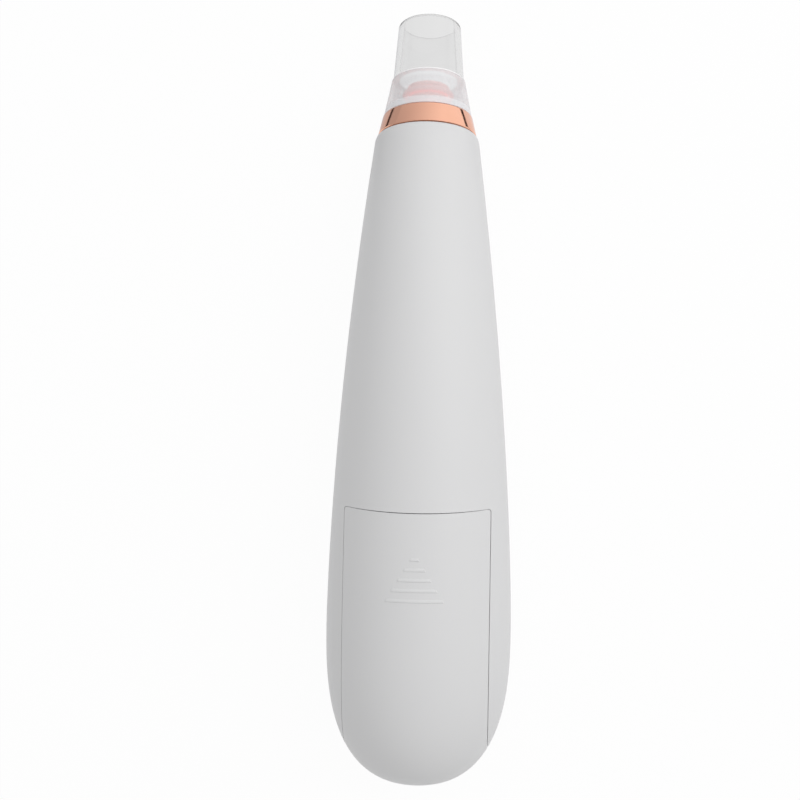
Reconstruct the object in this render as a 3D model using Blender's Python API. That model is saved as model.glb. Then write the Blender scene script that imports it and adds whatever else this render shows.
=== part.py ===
"""A hand-held pore vacuum: a drop-shaped housing with a sliding battery door,
a ring at the neck, a push-on suction head, and the motor and pump inside.

Everything is drawn in the tool's own frame, where z runs up from the bottom
end to the neck, y towards the flat front and x to the right as seen from the
back. The whole tool then lies on its flat front: its back points up and the
suction head points along +Y. Metres throughout.
"""

from math import atan2, cos, pi, radians, sin

import bmesh
import bpy
from mathutils import Matrix, Vector

# Housing, sizes read on the outer surface
BELLY_R = 0.0226
BELLY_Z = 0.0380
DOME_POWER = 2.62
NECK_R = 0.0129
NECK_T = 0.1590
TAPER_POWER = 1.56
BEND_START = 0.0750
BEND = radians(9.0)
FRONT_DEPTH = 0.0230
FLAT_CUT = 0.0015
FLAT_DEPTH = FRONT_DEPTH - FLAT_CUT
FRONT_HOLD = 0.0850
WALL = 0.0020
PARTING = 0.00015
GAP = 0.0003
LIP_R = 0.0102
LIP_BORE = 0.0090
LIP_H = 0.0030
SHOULDER = 0.0012

# Two cells and the battery bay round them, part of the rear shell
CELL_R = 0.0071
CELL_X = CELL_R + 0.00035
CELL_Y = -0.0040
CELL_BODY = 0.0488
CELL_NUB = 0.0011
CELL_NUB_R = 0.0027
SPRING_WIRE = 0.00035
SPRING_TURNS = 3.5
SPRING_H = 0.0034
PLATE = 0.0004
PLATE_HALF = 0.0050
BRIDGE_HALF = 0.0125
BAY_LOW = 0.0114
BAY_HIGH = BAY_LOW + 2 * PLATE + 3 * GAP + CELL_BODY + CELL_NUB + SPRING_H
BAY_HALF = CELL_X + CELL_R + 0.00045
BAY_FLOOR = CELL_Y + CELL_R + 0.0004
BAY_WALL = 0.0012
BAY_RISE = 0.0125
TAIL_HALF = 0.0011
TAIL_TOP = BAY_HIGH + 0.0028

# Battery door and the opening it closes
DOOR_HALF = BAY_HALF + 0.0023
DOOR_TOP = BAY_HIGH + 0.00095
DOOR_SMILE = 0.0005
DOOR_CORNER = 0.0012
DOOR_WALL = 0.0016
LEDGE_WALL = 0.0012
LEDGE_WIDTH = 0.0018
GUIDE_X = CELL_X + 0.00675
GRIP_TOP = DOOR_TOP - 0.01055
GRIP_PITCH = 0.00236
GRIP_FIRST = 0.0018
GRIP_STEP = 0.0028
GRIP_BARS = 5
GRIP_RAISE = 0.00035
GRIP_HEIGHT = 0.0010

# Neck ring, suction port and suction head, heights above the shell's neck
RING_LOW_R = 0.0124
RING_TOP_R = 0.0113
RING_BORE = 0.0105
RING_LOW = 0.0003
RING_TOP = 0.0053
PORT_R = 0.0054
PORT_TOP = 0.0137
PORT_BORE = 0.0043
BARB_R = 0.0020
BARB_END = -0.0130
SEAL_HEIGHT = 0.0115
SEAL_R = 0.00060
HEAD_LOW = 0.0056
HEAD_LOW_R = 0.0111
HEAD_STEP = 0.0150
HEAD_STEP_R = 0.0093
HEAD_TUBE_R = 0.00882
HEAD_TOP = 0.03015
HEAD_TOP_R = 0.0079
HEAD_WALL = 0.00135
RIM_ROUND = 0.00045

# Control on the flat front
BUTTON_Z = 0.0700
BUTTON_R = 0.0058
BUTTON_SUNK = 0.0006
BUTTON_STROKE = 0.0004
FLANGE_R = 0.0069
FLANGE_DEPTH = 0.0027
FLANGE_WALL = 0.0010
FOOT_R = 0.0015
BUTTON_RING_R = 0.0070
BUTTON_RING_WALL = 0.0009
BUTTON_HOLE = BUTTON_RING_R + GAP
LENS_Z = BUTTON_Z + 0.0140
LENS_R = 0.0015

# Circuit board
BOARD_HALF = 0.0100
BOARD_LOW = BUTTON_Z - 0.0240
BOARD_HIGH = BUTTON_Z + 0.0180
BOARD_DEPTH = 0.0065
BOARD_WALL = 0.0016
BOARD_FRONT = FLAT_DEPTH - BOARD_DEPTH
BOARD_BACK = BOARD_FRONT - BOARD_WALL
SWITCH_HALF = 0.0026
SWITCH_H = 0.0013
SWITCH_WELL = 0.0007
PLUNGER_R = 0.0011
PLUNGER_H = 0.0007
STAKES = ((-0.0070, BOARD_LOW + 0.0040), (0.0070, BOARD_HIGH - 0.0090))

# Screws that join the halves
SCREW_PLACES = {"housing_screw_lower": BAY_LOW + 0.0091, "housing_screw_upper": BAY_LOW + 0.0266}
SCREW_HEAD_R = 0.0023
SCREW_R = 0.0012

# Motor and pump, heights along the drive axis
DRIVE_Y = -0.0024
DRIVE_Z = BAY_HIGH + 0.0076
DRIVE_TILT = radians(4.5)
MOTOR_R = 0.0120
CAN_LOW = 0.0027
CAN_H = 0.0283
CAN_TOP = CAN_LOW + CAN_H
CAN_WALL = 0.0010
CAP_H = 0.0022
BEARING_R = 0.0031
BEARING_H = 0.0016
TERMINAL_X = 0.0055
TERMINAL_WALL = 0.0006
TERMINAL_H = 0.0039
SHAFT_R = 0.0010
SHAFT_PLAY = 0.0004
MAGNET_R = MOTOR_R - CAN_WALL - GAP
MAGNET_WALL = 0.0020
MAGNET_INSET = 0.0033
MAGNET_H = 0.0210
AIR_GAP = 0.0004
ROTOR_R = MAGNET_R - MAGNET_WALL - AIR_GAP
ROTOR_INSET = 0.0043
ROTOR_H = 0.0180
ROTOR_CORE = 0.0045
PUMP_R = 0.0130
PUMP_WALL = 0.0014
PUMP_LOW = CAN_TOP + GAP
BASE_H = 0.0133
BASE_FLOOR = 0.0027
BASE_BORE = 0.0035
BASE_TOP = PUMP_LOW + BASE_H
PUMP_SCREW_R = 0.0010
PUMP_BOSS_R = 0.0019
PUMP_SCREW_RING = 0.0109
PUMP_SCREW_HEAD_R = 0.0019
PUMP_SCREW_HEAD_H = 0.0010
CUP_RING = 0.0069
CUP_R = 0.0033
CUP_DEPTH = 0.00085
SKIN_H = 0.0012
SKIN_TOP = BASE_TOP + GAP + SKIN_H
VALVE_H = 0.0028
VALVE_TOP = SKIN_TOP + GAP + VALVE_H
COVER_LOW = VALVE_TOP + GAP
COVER_H = 0.0044
COVER_TOP = COVER_LOW + COVER_H
CHAMBER_R = 0.0080
CHAMBER_H = 0.0025
NOZZLE_H = 0.0061
NOZZLE_TOP = COVER_TOP + NOZZLE_H
NOD_RISE = 0.0014
NOD_CENTRE = BASE_TOP + NOD_RISE
NOD = radians(10.0)
CAM_R = 0.0040
CAM_H = 0.0039
CAM_DROP = 0.0065
CAM_TOP = NOD_CENTRE - CAM_DROP
CAM_LOW = CAM_TOP - CAM_H
CAM_BORE_H = 0.0018
SHAFT_TOP = CAM_LOW + CAM_BORE_H - SHAFT_PLAY
SHAFT_TAIL = 0.0037
PIN_R = 0.0009
PIN_H = 0.0060
PIN_DROP = 0.0022
PLATE_DROP = 0.0039
PLATE_H = 0.0015
PLATE_HUB = 0.0042
PLATE_LOBE = 0.0044
SADDLES = ((DRIVE_Z + 0.0220, MOTOR_R), (DRIVE_Z + 0.0470, PUMP_R))

HALF_STEPS = 14
DOME_STEPS = 8
RISE_STEPS = 12
ROUND = 24
LOBE_STEPS = 36


def clear_scene():
    for thing in list(bpy.data.objects):
        bpy.data.objects.remove(thing, do_unlink=True)


def finish_of(name, colour, roughness, metallic=0.0, clear=0.0):
    """A material with the piece's colour, roughness and metallic value."""
    made = bpy.data.materials.new(name)
    made.use_nodes = True
    shader = made.node_tree.nodes["Principled BSDF"]
    shader.inputs["Base Color"].default_value = (*colour, 1.0)
    shader.inputs["Roughness"].default_value = roughness
    shader.inputs["Metallic"].default_value = metallic
    shader.inputs["Transmission Weight"].default_value = clear
    return made


def empty(name, parent=None, location=(0.0, 0.0, 0.0), rotation=(0.0, 0.0, 0.0)):
    made = bpy.data.objects.new(name, None)
    bpy.context.collection.objects.link(made)
    made.parent = parent
    made.location = location
    made.rotation_euler = rotation
    return made


def add_object(name, bm, finish, parent, location=(0.0, 0.0, 0.0), rotation=(0.0, 0.0, 0.0)):
    """Close a bmesh up, turn its faces outwards and make it a named object."""
    bmesh.ops.remove_doubles(bm, verts=bm.verts, dist=1e-7)
    bmesh.ops.dissolve_degenerate(bm, edges=bm.edges, dist=1e-8)
    bmesh.ops.recalc_face_normals(bm, faces=bm.faces)
    mesh = bpy.data.meshes.new(name)
    bm.to_mesh(mesh)
    bm.free()
    mesh.shade_smooth()
    mesh.set_sharp_from_angle(angle=radians(32))
    made = bpy.data.objects.new(name, mesh)
    bpy.context.collection.objects.link(made)
    made.parent = parent
    made.location = location
    made.rotation_euler = rotation
    if finish is not None:
        mesh.materials.append(finish)
    return made


def as_cutter(thing):
    thing.hide_render = True
    thing.display_type = "WIRE"
    return thing


def combine(target, other, operation):
    """Add an exact Boolean of the other shape, which stays as a hidden guide."""
    as_cutter(other)
    step = target.modifiers.new(other.name, "BOOLEAN")
    step.operation = operation
    step.solver = "EXACT"
    step.object = other
    return target


def loft(loops, closed_ends=(True, True), joined=False):
    """A skin over loops of as many points each, capped at its ends or joined round into a ring."""
    bm = bmesh.new()
    rings = [[bm.verts.new(point) for point in loop] for loop in loops]
    count = len(rings[0])
    pairs = list(zip(rings, rings[1:]))
    if joined:
        pairs.append((rings[-1], rings[0]))
    for lower, upper in pairs:
        for i in range(count):
            j = (i + 1) % count
            bm.faces.new((lower[i], lower[j], upper[j], upper[i]))
    if closed_ends[0] and not joined:
        bm.faces.new(rings[0])
    if closed_ends[1] and not joined:
        bm.faces.new(list(reversed(rings[-1])))
    return bm


def turned(profile, closed=False, steps=ROUND):
    """Spin (radius, height) points round the z axis."""
    bm = bmesh.new()
    corners = [bm.verts.new((radius, 0.0, height)) for radius, height in profile]
    edges = [bm.edges.new(pair) for pair in zip(corners, corners[1:])]
    if closed:
        edges.append(bm.edges.new((corners[-1], corners[0])))
    bmesh.ops.spin(
        bm,
        geom=corners + edges,
        cent=(0.0, 0.0, 0.0),
        axis=(0.0, 0.0, 1.0),
        angle=2 * pi,
        steps=steps,
        use_merge=True,
    )
    return bm


def rod(radius, low, high, steps=ROUND):
    return turned([(0.0, low), (radius, low), (radius, high), (0.0, high)], steps=steps)


def block(low, high):
    """A box between two opposite corners."""
    bm = bmesh.new()
    size = Vector(high) - Vector(low)
    middle = (Vector(high) + Vector(low)) / 2
    bmesh.ops.create_cube(bm, size=1.0, matrix=Matrix.Translation(middle) @ Matrix.Diagonal((*size, 1.0)))
    return bm


def extruded(outline, low, high, hole=None):
    """A flat outline raised from low to high, with an optional hole of as many points."""
    loops = [[(x, y, low) for x, y in outline], [(x, y, high) for x, y in outline]]
    if hole is None:
        return loft(loops)
    loops += [[(x, y, high) for x, y in hole], [(x, y, low) for x, y in hole]]
    return loft(loops, joined=True)


def circle(radius, count, centre=(0.0, 0.0)):
    turn = [2 * pi * i / count for i in range(count)]
    return [(centre[0] + radius * cos(a), centre[1] + radius * sin(a)) for a in turn]


def tube_object(name, points, radius, finish, parent, resolution=2):
    """A round tube along a list of points, with filled ends."""
    curve = bpy.data.curves.new(name, "CURVE")
    curve.dimensions = "3D"
    curve.bevel_depth = radius
    curve.bevel_resolution = resolution
    curve.use_fill_caps = True
    line = curve.splines.new("POLY")
    line.points.add(len(points) - 1)
    for place, point in zip(line.points, points):
        place.co = (*point, 1.0)
    made = bpy.data.objects.new(name, curve)
    bpy.context.collection.objects.link(made)
    made.parent = parent
    if finish is not None:
        curve.materials.append(finish)
    return made


def smooth_line(points, pieces):
    """A Catmull-Rom curve through the points, with some pieces to each span."""
    ends = [2 * points[0] - points[1], *points, 2 * points[-1] - points[-2]]
    line = []
    for a, b, c, d in zip(ends, ends[1:], ends[2:], ends[3:]):
        for i in range(pieces):
            s = i / pieces
            line.append(
                (
                    2 * b
                    + (c - a) * s
                    + (2 * a - 5 * b + 4 * c - d) * s**2
                    + (3 * b - 3 * c + d - a) * s**3
                )
                / 2
            )
    line.append(points[-1])
    return line


def pipe(line, radius, bore, sides=10):
    """A hose with its bore, swept along a line that bends only in the y-z plane."""
    loops = []
    for size, order in ((radius, range(len(line))), (bore, reversed(range(len(line))))):
        for i in order:
            along = (line[min(i + 1, len(line) - 1)] - line[max(i - 1, 0)]).normalized()
            across = Vector((1.0, 0.0, 0.0))
            out = along.cross(across)
            turn = [2 * pi * k / sides for k in range(sides)]
            loops.append([line[i] + size * (across * cos(a) + out * sin(a)) for a in turn])
    return loft(loops, joined=True)


def spine(t):
    """The middle of the housing at arc length t: its y, z and forward lean."""
    radius = (NECK_T - BEND_START) / BEND
    lean = min(max((t - BEND_START) / radius, 0.0), BEND)
    y = radius * (1 - cos(lean))
    z = min(t, BEND_START) + radius * sin(lean)
    beyond = max(t - NECK_T, 0.0)
    return y + beyond * sin(BEND), z + beyond * cos(BEND), lean


def half_width(t):
    """Half the housing's width above its belly."""
    rise = (min(t, NECK_T) - BELLY_Z) / (NECK_T - BELLY_Z)
    return BELLY_R - (BELLY_R - NECK_R) * max(rise, 0.0) ** TAPER_POWER


def front_reach(t):
    """How far the uncut front stands from the spine."""
    y, _, lean = spine(t)
    fall = min(max((t - FRONT_HOLD) / (NECK_T - FRONT_HOLD), 0.0), 1.0)
    ease = fall * fall * (3 - 2 * fall)
    top = spine(NECK_T)[0] + NECK_R
    return (FRONT_DEPTH - (FRONT_DEPTH - top) * ease - y) / cos(lean)


def stations(inset):
    """(t, half width, back depth, front depth) from the pole to the neck."""
    rows = []
    flat_loss = FRONT_DEPTH - FLAT_DEPTH if inset > 0 else 0.0
    for step in range(DOME_STEPS + 1):
        a = pi / 2 * step / DOME_STEPS
        side = (BELLY_R - inset) * sin(a) ** (2 / DOME_POWER)
        t = BELLY_Z - (BELLY_Z - inset) * cos(a) ** (2 / DOME_POWER)
        front = side * (FRONT_DEPTH - flat_loss - inset) / (BELLY_R - inset)
        rows.append((t, side, side, front))
    top = NECK_T - SHOULDER
    for step in range(1, RISE_STEPS + 1):
        t = BELLY_Z + (top - BELLY_Z) * step / RISE_STEPS
        side = half_width(t) - inset
        fade = flat_loss * (1 - step / RISE_STEPS)
        rows.append((t, side, side, front_reach(t) - inset - fade))
    return rows


def section(t, side, depth, front, parting=0.0, full=False):
    """Points round one half, or all, of the housing's section at t."""
    y, z, lean = spine(t)
    points = []
    steps = 2 * HALF_STEPS if full else HALF_STEPS
    for i in range(steps + (0 if full else 1)):
        a = pi * i / HALF_STEPS
        x = side * cos(a)
        rise = sin(a)
        if full:
            out = rise * (front if rise > 0 else depth)
        else:
            out = parting + max(depth - parting, 0.0) * rise
            out = out if front else -out
        points.append((x, y + out * cos(lean), z - out * sin(lean)))
    return points


def solid_drop(name, inset, parent):
    """The whole housing's outer form, drawn in by an inset."""
    loops = [section(t, side, back, front, full=True) for t, side, back, front in stations(inset)]
    return add_object(name, loft(loops, (False, True)), None, parent)


def shell_rows():
    """Outer and inner stations of a half, with the shoulder and the lip inside the ring."""
    outer = stations(0.0)
    inner = []
    for t, side, back, front in stations(WALL):
        room = LIP_BORE + max(NECK_T - 0.0035 - t, 0.0)
        inner.append((t, min(side, room), min(back, room), min(front, room)))
    edge = half_width(NECK_T)
    for drop, less in ((0.0005, 0.0001), (0.0002, 0.00025), (0.0, 0.00055)):
        outer.append((NECK_T - drop, edge - less, edge - less, edge - less))
        inner.append((NECK_T - drop, LIP_BORE, LIP_BORE, LIP_BORE))
    for height in (0.0, LIP_H):
        outer.append((NECK_T + height, LIP_R, LIP_R, LIP_R))
        inner.append((NECK_T + height, LIP_BORE, LIP_BORE, LIP_BORE))
    return outer, inner


def half_shell(name, front, finish, parent):
    """One half of the housing, a wall of even thickness from parting line to parting line."""
    outer, inner = shell_rows()
    loops = []
    for (t, side, back, face), (ti, side_i, back_i, face_i) in zip(outer, inner):
        skin = section(t, side, face if front else back, front, PARTING)
        lining = section(ti, side_i, face_i if front else back_i, front, PARTING)
        loops.append(skin + lining[::-1])
    return add_object(name, loft(loops, (False, True)), finish, parent)


def door_outline(margin):
    """The door's outline seen from the back, grown by a margin, round at its top corners."""
    half = DOOR_HALF + margin
    corner = DOOR_CORNER + max(margin, 0.0)
    points = [(-half, -0.010), (half, -0.010)]
    top = DOOR_TOP + DOOR_SMILE + margin
    for i in range(5):
        a = pi / 2 * i / 4
        points.append((half - corner + corner * cos(a), top - corner + corner * sin(a)))
    inner = half - corner
    for i in range(1, 10):
        x = inner - 2 * inner * i / 10
        points.append((x, top - DOOR_SMILE * (1 - (x / inner) ** 2)))
    for i in range(5):
        a = pi / 2 + pi / 2 * i / 4
        points.append((-half + corner + corner * cos(a), top - corner + corner * sin(a)))
    return points


def door_prism(name, margin, front_end, parent):
    """The door's outline pushed through the back of the housing."""
    loops = [[(x, y, z) for x, z in door_outline(margin)] for y in (-0.040, front_end)]
    return add_object(name, loft(loops), None, parent)


def saddles(prefix, front, tool, drive):
    """Ribs that cradle the motor and the pump in one half."""
    ribs = []
    for number, (height, radius) in enumerate(SADDLES, 1):
        middle = spine(height)[0]
        near, far = (middle + 2 * GAP, 0.030) if front else (-0.030, middle - 2 * GAP)
        name = f"{prefix}_rib_{number}"
        wall = block((-0.025, near, height - 0.0008), (0.025, far, height + 0.0008))
        rib = add_object(name, wall, None, tool)
        combine(rib, solid_drop(f"{name}_limit", WALL / 2, tool), "INTERSECT")
        seat = rod(radius + GAP + 0.00005, 0.0, 0.065)
        combine(rib, add_object(f"{name}_seat", seat, None, drive), "DIFFERENCE")
        ribs.append(rib)
    return ribs


def make_front_shell(finish, tool, drive):
    """The front half: flat control face, button and lens holes, screw bosses, board stakes, ribs."""
    shell = half_shell("front_shell", True, finish, tool)
    for rib in saddles("front", True, tool, drive):
        combine(shell, rib, "UNION")
    turn = (-pi / 2, 0.0, 0.0)
    reach = FLAT_DEPTH - WALL / 2
    for name, z in SCREW_PLACES.items():
        boss = rod(0.0031, BAY_FLOOR + BAY_WALL + GAP, reach, 20)
        boss = add_object(f"{name}_boss", boss, None, tool, (0, 0, z), turn)
        combine(shell, boss, "UNION")
    for number, (x, z) in enumerate(STAKES, 1):
        profile = [(0.0, BOARD_BACK - 0.0006), (0.0009, BOARD_BACK - 0.0006), (0.0009, BOARD_FRONT + GAP)]
        profile += [(0.0019, BOARD_FRONT + GAP), (0.0019, reach), (0.0, reach)]
        stake = add_object(f"stake_{number}", turned(profile, steps=16), None, tool, (x, 0, z), turn)
        combine(shell, stake, "UNION")
    face = block((-0.030, FLAT_DEPTH, -0.010), (0.030, 0.040, 0.150))
    combine(shell, add_object("flat_face_cut", face, None, tool), "DIFFERENCE")
    hole = rod(BUTTON_HOLE, FLAT_DEPTH - 0.004, 0.030, 32)
    combine(shell, add_object("button_cut", hole, None, tool, (0, 0, BUTTON_Z), turn), "DIFFERENCE")
    hole = rod(LENS_R + GAP, FLAT_DEPTH - 0.004, 0.030, 20)
    combine(shell, add_object("lens_cut", hole, None, tool, (0, 0, LENS_Z), turn), "DIFFERENCE")
    for name, z in SCREW_PLACES.items():
        pilot = rod(SCREW_R + GAP, 0.0010, 0.0130, 16)
        combine(shell, add_object(f"{name}_pilot", pilot, None, tool, (0, 0, z), turn), "DIFFERENCE")
    return shell


def make_rear_shell(finish, tool, drive):
    """The back half: the battery opening with its ledge, and the bay moulded in it."""
    shell = half_shell("rear_shell", False, finish, tool)
    for rib in saddles("rear", False, tool, drive):
        combine(shell, rib, "UNION")

    ledge = door_prism("ledge", LEDGE_WIDTH, -PARTING, tool)
    ledge_top = DOOR_WALL + GAP
    combine(ledge, solid_drop("ledge_outer", ledge_top - 0.00005, tool), "INTERSECT")
    combine(ledge, solid_drop("ledge_inner", ledge_top + LEDGE_WALL, tool), "DIFFERENCE")
    combine(shell, ledge, "UNION")

    side = BAY_HALF + BAY_WALL
    low = (-side, -BAY_RISE, BAY_LOW - BAY_WALL)
    bay = add_object("bay", block(low, (side, BAY_FLOOR + BAY_WALL, BAY_HIGH + BAY_WALL)), None, tool)
    combine(bay, solid_drop("bay_limit", WALL + 0.0004, tool), "INTERSECT")
    combine(shell, bay, "UNION")

    pocket = door_prism("door_pocket", GAP / 2, 0.001, tool)
    combine(pocket, solid_drop("pocket_floor", ledge_top, tool), "DIFFERENCE")
    combine(shell, pocket, "DIFFERENCE")
    room = block((-BAY_HALF, -0.040, BAY_LOW), (BAY_HALF, BAY_FLOOR, BAY_HIGH))
    combine(shell, add_object("bay_room", room, None, tool), "DIFFERENCE")
    turn = (-pi / 2, 0.0, 0.0)
    for name, z in SCREW_PLACES.items():
        hole = rod(SCREW_R + GAP + 0.0001, BAY_FLOOR - 0.001, BAY_FLOOR + 0.003, 16)
        combine(shell, add_object(f"{name}_hole", hole, None, tool, (0, 0, z), turn), "DIFFERENCE")
    for name, x in (("left", -CELL_X), ("right", CELL_X)):
        room = TAIL_HALF + 0.0004
        slot = block((x - room, -0.0011, BAY_HIGH - 0.001), (x + room, 0.0003, BAY_HIGH + 0.003))
        combine(shell, add_object(f"tail_slot_{name}", slot, None, tool), "DIFFERENCE")
    return shell


def make_battery_door(finish, tool):
    """The sliding door: its wall wraps the bottom end, with grip bars, a latch tab and two guide ribs."""
    door = door_prism("battery_door", -GAP / 2, -PARTING, tool)
    door.data.materials.append(finish)
    combine(door, solid_drop("door_outer", 0.0, tool), "INTERSECT")
    combine(door, solid_drop("door_inner", DOOR_WALL, tool), "DIFFERENCE")

    skin = DOOR_WALL / 2
    ribs = [("latch_tab", 0.0030, 0.0, DOOR_TOP - 0.00485, DOOR_TOP - 0.00255, 0.0176)]
    for side, x in (("left", -GUIDE_X), ("right", GUIDE_X)):
        ribs.append((f"guide_{side}", 0.0006, x, BAY_LOW + 0.0046, BAY_HIGH - 0.0064, 0.0125))
    for name, half, x, low, high, reach in ribs:
        rib = add_object(name, block((x - half, -0.030, low), (x + half, -reach, high)), None, tool)
        combine(rib, solid_drop(f"{name}_limit", skin, tool), "INTERSECT")
        combine(door, rib, "UNION")
    for bar in range(GRIP_BARS):
        half = (GRIP_FIRST + GRIP_STEP * bar) / 2
        height = GRIP_TOP - GRIP_PITCH * bar
        low = (-half, -0.030, height - GRIP_HEIGHT / 2)
        grip = block(low, (half, -0.0210, height + GRIP_HEIGHT / 2))
        grip = add_object(f"grip_{bar + 1}", grip, None, tool)
        combine(grip, solid_drop(f"grip_limit_{bar + 1}", -GRIP_RAISE, tool), "INTERSECT")
        combine(door, grip, "UNION")
    return door


def make_neck(finishes, neck):
    """Ring, port, seal, sponge and suction head, all turned about the neck's axis."""
    chamfer = 0.00025
    ring = [
        (RING_LOW_R - chamfer, RING_LOW),
        (RING_LOW_R, RING_LOW + chamfer),
        (RING_TOP_R + 0.00003, RING_TOP - chamfer),
        (RING_TOP_R - chamfer, RING_TOP),
        (RING_BORE, RING_TOP),
        (RING_BORE, RING_LOW),
    ]
    add_object("neck_ring", turned(ring, True, 40), finishes["copper"], neck)

    groove = PORT_R - 0.0004
    port = [
        (PORT_BORE, PORT_TOP),
        (PORT_R - 0.0003, PORT_TOP),
        (PORT_R, PORT_TOP - 0.0003),
        (PORT_R, SEAL_HEIGHT + 0.0009),
        (groove, SEAL_HEIGHT + 0.0008),
        (groove, SEAL_HEIGHT - 0.0008),
        (PORT_R, SEAL_HEIGHT - 0.0009),
        (PORT_R, LIP_H + 0.0017),
        (LIP_R - 0.0001, LIP_H + 0.0017),
        (LIP_R - 0.0001, LIP_H + GAP),
        (LIP_BORE - GAP, LIP_H + GAP),
        (LIP_BORE - GAP, -0.0015),
        (0.0026, -0.0030),
        (BARB_R, -0.0034),
        (BARB_R, BARB_END),
        (BARB_R - 0.0008, BARB_END),
        (BARB_R - 0.0008, 0.0055),
        (0.0030, 0.0065),
        (0.0030, 0.0104),
        (PORT_BORE, 0.0104),
    ]
    add_object("suction_port", turned(port, True), finishes["rose_gold"], neck)
    sponge = [(0.0, 0.0107), (PORT_BORE - GAP, 0.0107), (PORT_BORE - GAP, 0.0131), (0.0, 0.0133)]
    add_object("filter_sponge", turned(sponge, steps=24), finishes["sponge"], neck)
    seal = circle(SEAL_R, 8, (groove + SEAL_R + GAP, SEAL_HEIGHT))
    add_object("head_seal", turned(seal, True), finishes["silicone"], neck)

    bore_low = HEAD_TUBE_R - HEAD_WALL - 0.0003
    bore_top = HEAD_TOP_R - HEAD_WALL
    stop = PORT_TOP + 0.0016
    socket = groove + 2 * SEAL_R + 0.00055
    head = [
        (HEAD_LOW_R, HEAD_LOW),
        (HEAD_STEP_R, HEAD_STEP),
        (HEAD_STEP_R - 0.00015, HEAD_STEP + 0.0003),
        (HEAD_TUBE_R, HEAD_STEP + 0.0004),
        (HEAD_TUBE_R - 0.0004, HEAD_STEP + 0.0050),
        (HEAD_TOP_R, HEAD_TOP - 0.0006),
        (HEAD_TOP_R - 0.0002, HEAD_TOP - 0.0002),
        (HEAD_TOP_R - RIM_ROUND, HEAD_TOP),
        (bore_top + RIM_ROUND, HEAD_TOP),
        (bore_top, HEAD_TOP - 0.0005),
        (bore_low, stop + 0.0018),
        (PORT_R + 0.0002, stop + 0.0016),
        (PORT_R + 0.0002, stop),
        (socket, stop),
        (socket, 0.0082),
        (socket + 0.0011, 0.0082),
        (socket + 0.0011, HEAD_STEP - 0.0012),
        (HEAD_STEP_R - 0.0009, HEAD_STEP - 0.0012),
        (HEAD_LOW_R - HEAD_WALL, HEAD_LOW),
    ]
    add_object("suction_head", turned(head, True, 36), finishes["clear"], neck)


def make_control(finishes, tool):
    """Button, its ring, the lens, and the board with what is on it."""
    turn = (-pi / 2, 0.0, 0.0)
    place = (0.0, 0.0, BUTTON_Z)
    flange = FLAT_DEPTH - FLANGE_DEPTH
    behind = flange + BUTTON_STROKE
    ring_bore = BUTTON_RING_R - BUTTON_RING_WALL
    ring = [
        (BUTTON_RING_R, behind),
        (BUTTON_RING_R, FLAT_DEPTH - 0.0004),
        (BUTTON_RING_R - 0.0002, FLAT_DEPTH - 0.0002),
        (ring_bore + 0.0002, FLAT_DEPTH - 0.0002),
        (ring_bore, FLAT_DEPTH - 0.0005),
        (ring_bore, behind),
    ]
    add_object("button_ring", turned(ring, True), finishes["copper"], tool, place, turn)
    face = FLAT_DEPTH - BUTTON_SUNK
    switch_top = BOARD_FRONT + SWITCH_H
    plunger_low = switch_top - SWITCH_WELL + BUTTON_STROKE + 0.00005
    foot = plunger_low + PLUNGER_H + 0.0002
    button = [
        (0.0, face - 0.0004),
        (BUTTON_R / 2, face - 0.0003),
        (BUTTON_R - 0.0006, face),
        (BUTTON_R, face - 0.0005),
        (BUTTON_R, flange),
        (FLANGE_R, flange),
        (FLANGE_R, flange - FLANGE_WALL),
        (FOOT_R, flange - FLANGE_WALL),
        (FOOT_R, foot),
        (0.0, foot),
    ]
    add_object("power_button", turned(button), finishes["white"], tool, place, turn)

    plunger = rod(PLUNGER_R, plunger_low, plunger_low + PLUNGER_H, 16)
    add_object("switch_plunger", plunger, finishes["dark"], tool, place, turn)
    low = (-SWITCH_HALF, BOARD_FRONT + GAP, BUTTON_Z - SWITCH_HALF)
    body = block(low, (SWITCH_HALF, switch_top, BUTTON_Z + SWITCH_HALF))
    body = add_object("tact_switch", body, finishes["steel"], tool)
    well = rod(PLUNGER_R + 0.0004, switch_top - SWITCH_WELL, switch_top + 0.0020, 16)
    combine(body, add_object("switch_well", well, None, tool, place, turn), "DIFFERENCE")

    seat = FLAT_DEPTH - FLANGE_DEPTH
    rim = LENS_R + 0.0007
    lens = [(0.0, seat - 0.0020), (LENS_R, seat - 0.0020), (LENS_R, seat - 0.0012), (rim, seat - 0.0012)]
    lens += [(rim, seat), (LENS_R, seat), (LENS_R, FLAT_DEPTH - 0.0003), (0.0, FLAT_DEPTH - 0.0001)]
    add_object("indicator_lens", turned(lens, steps=20), finishes["lens"], tool, (0, 0, LENS_Z), turn)
    lamp = block((-0.0012, BOARD_FRONT + GAP, LENS_Z - 0.0007), (0.0012, switch_top, LENS_Z + 0.0007))
    add_object("led_lamp", lamp, finishes["lens"], tool)

    plate = block((-BOARD_HALF, BOARD_BACK, BOARD_LOW), (BOARD_HALF, BOARD_FRONT, BOARD_HIGH))
    board = add_object("circuit_board", plate, finishes["board"], tool)
    for number, (x, z) in enumerate(STAKES, 1):
        hole = rod(0.0012, BOARD_BACK - 0.0030, BOARD_FRONT + 0.0050, 16)
        combine(board, add_object(f"board_hole_{number}", hole, None, tool, (x, 0, z), turn), "DIFFERENCE")
    chip_z = BUTTON_Z - 0.0105
    low = (-0.0080, BOARD_FRONT + GAP, chip_z - 0.0020)
    chip = block(low, (-0.0030, BOARD_FRONT + 0.0017, chip_z + 0.0020))
    add_object("motor_driver", chip, finishes["dark"], tool)


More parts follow.
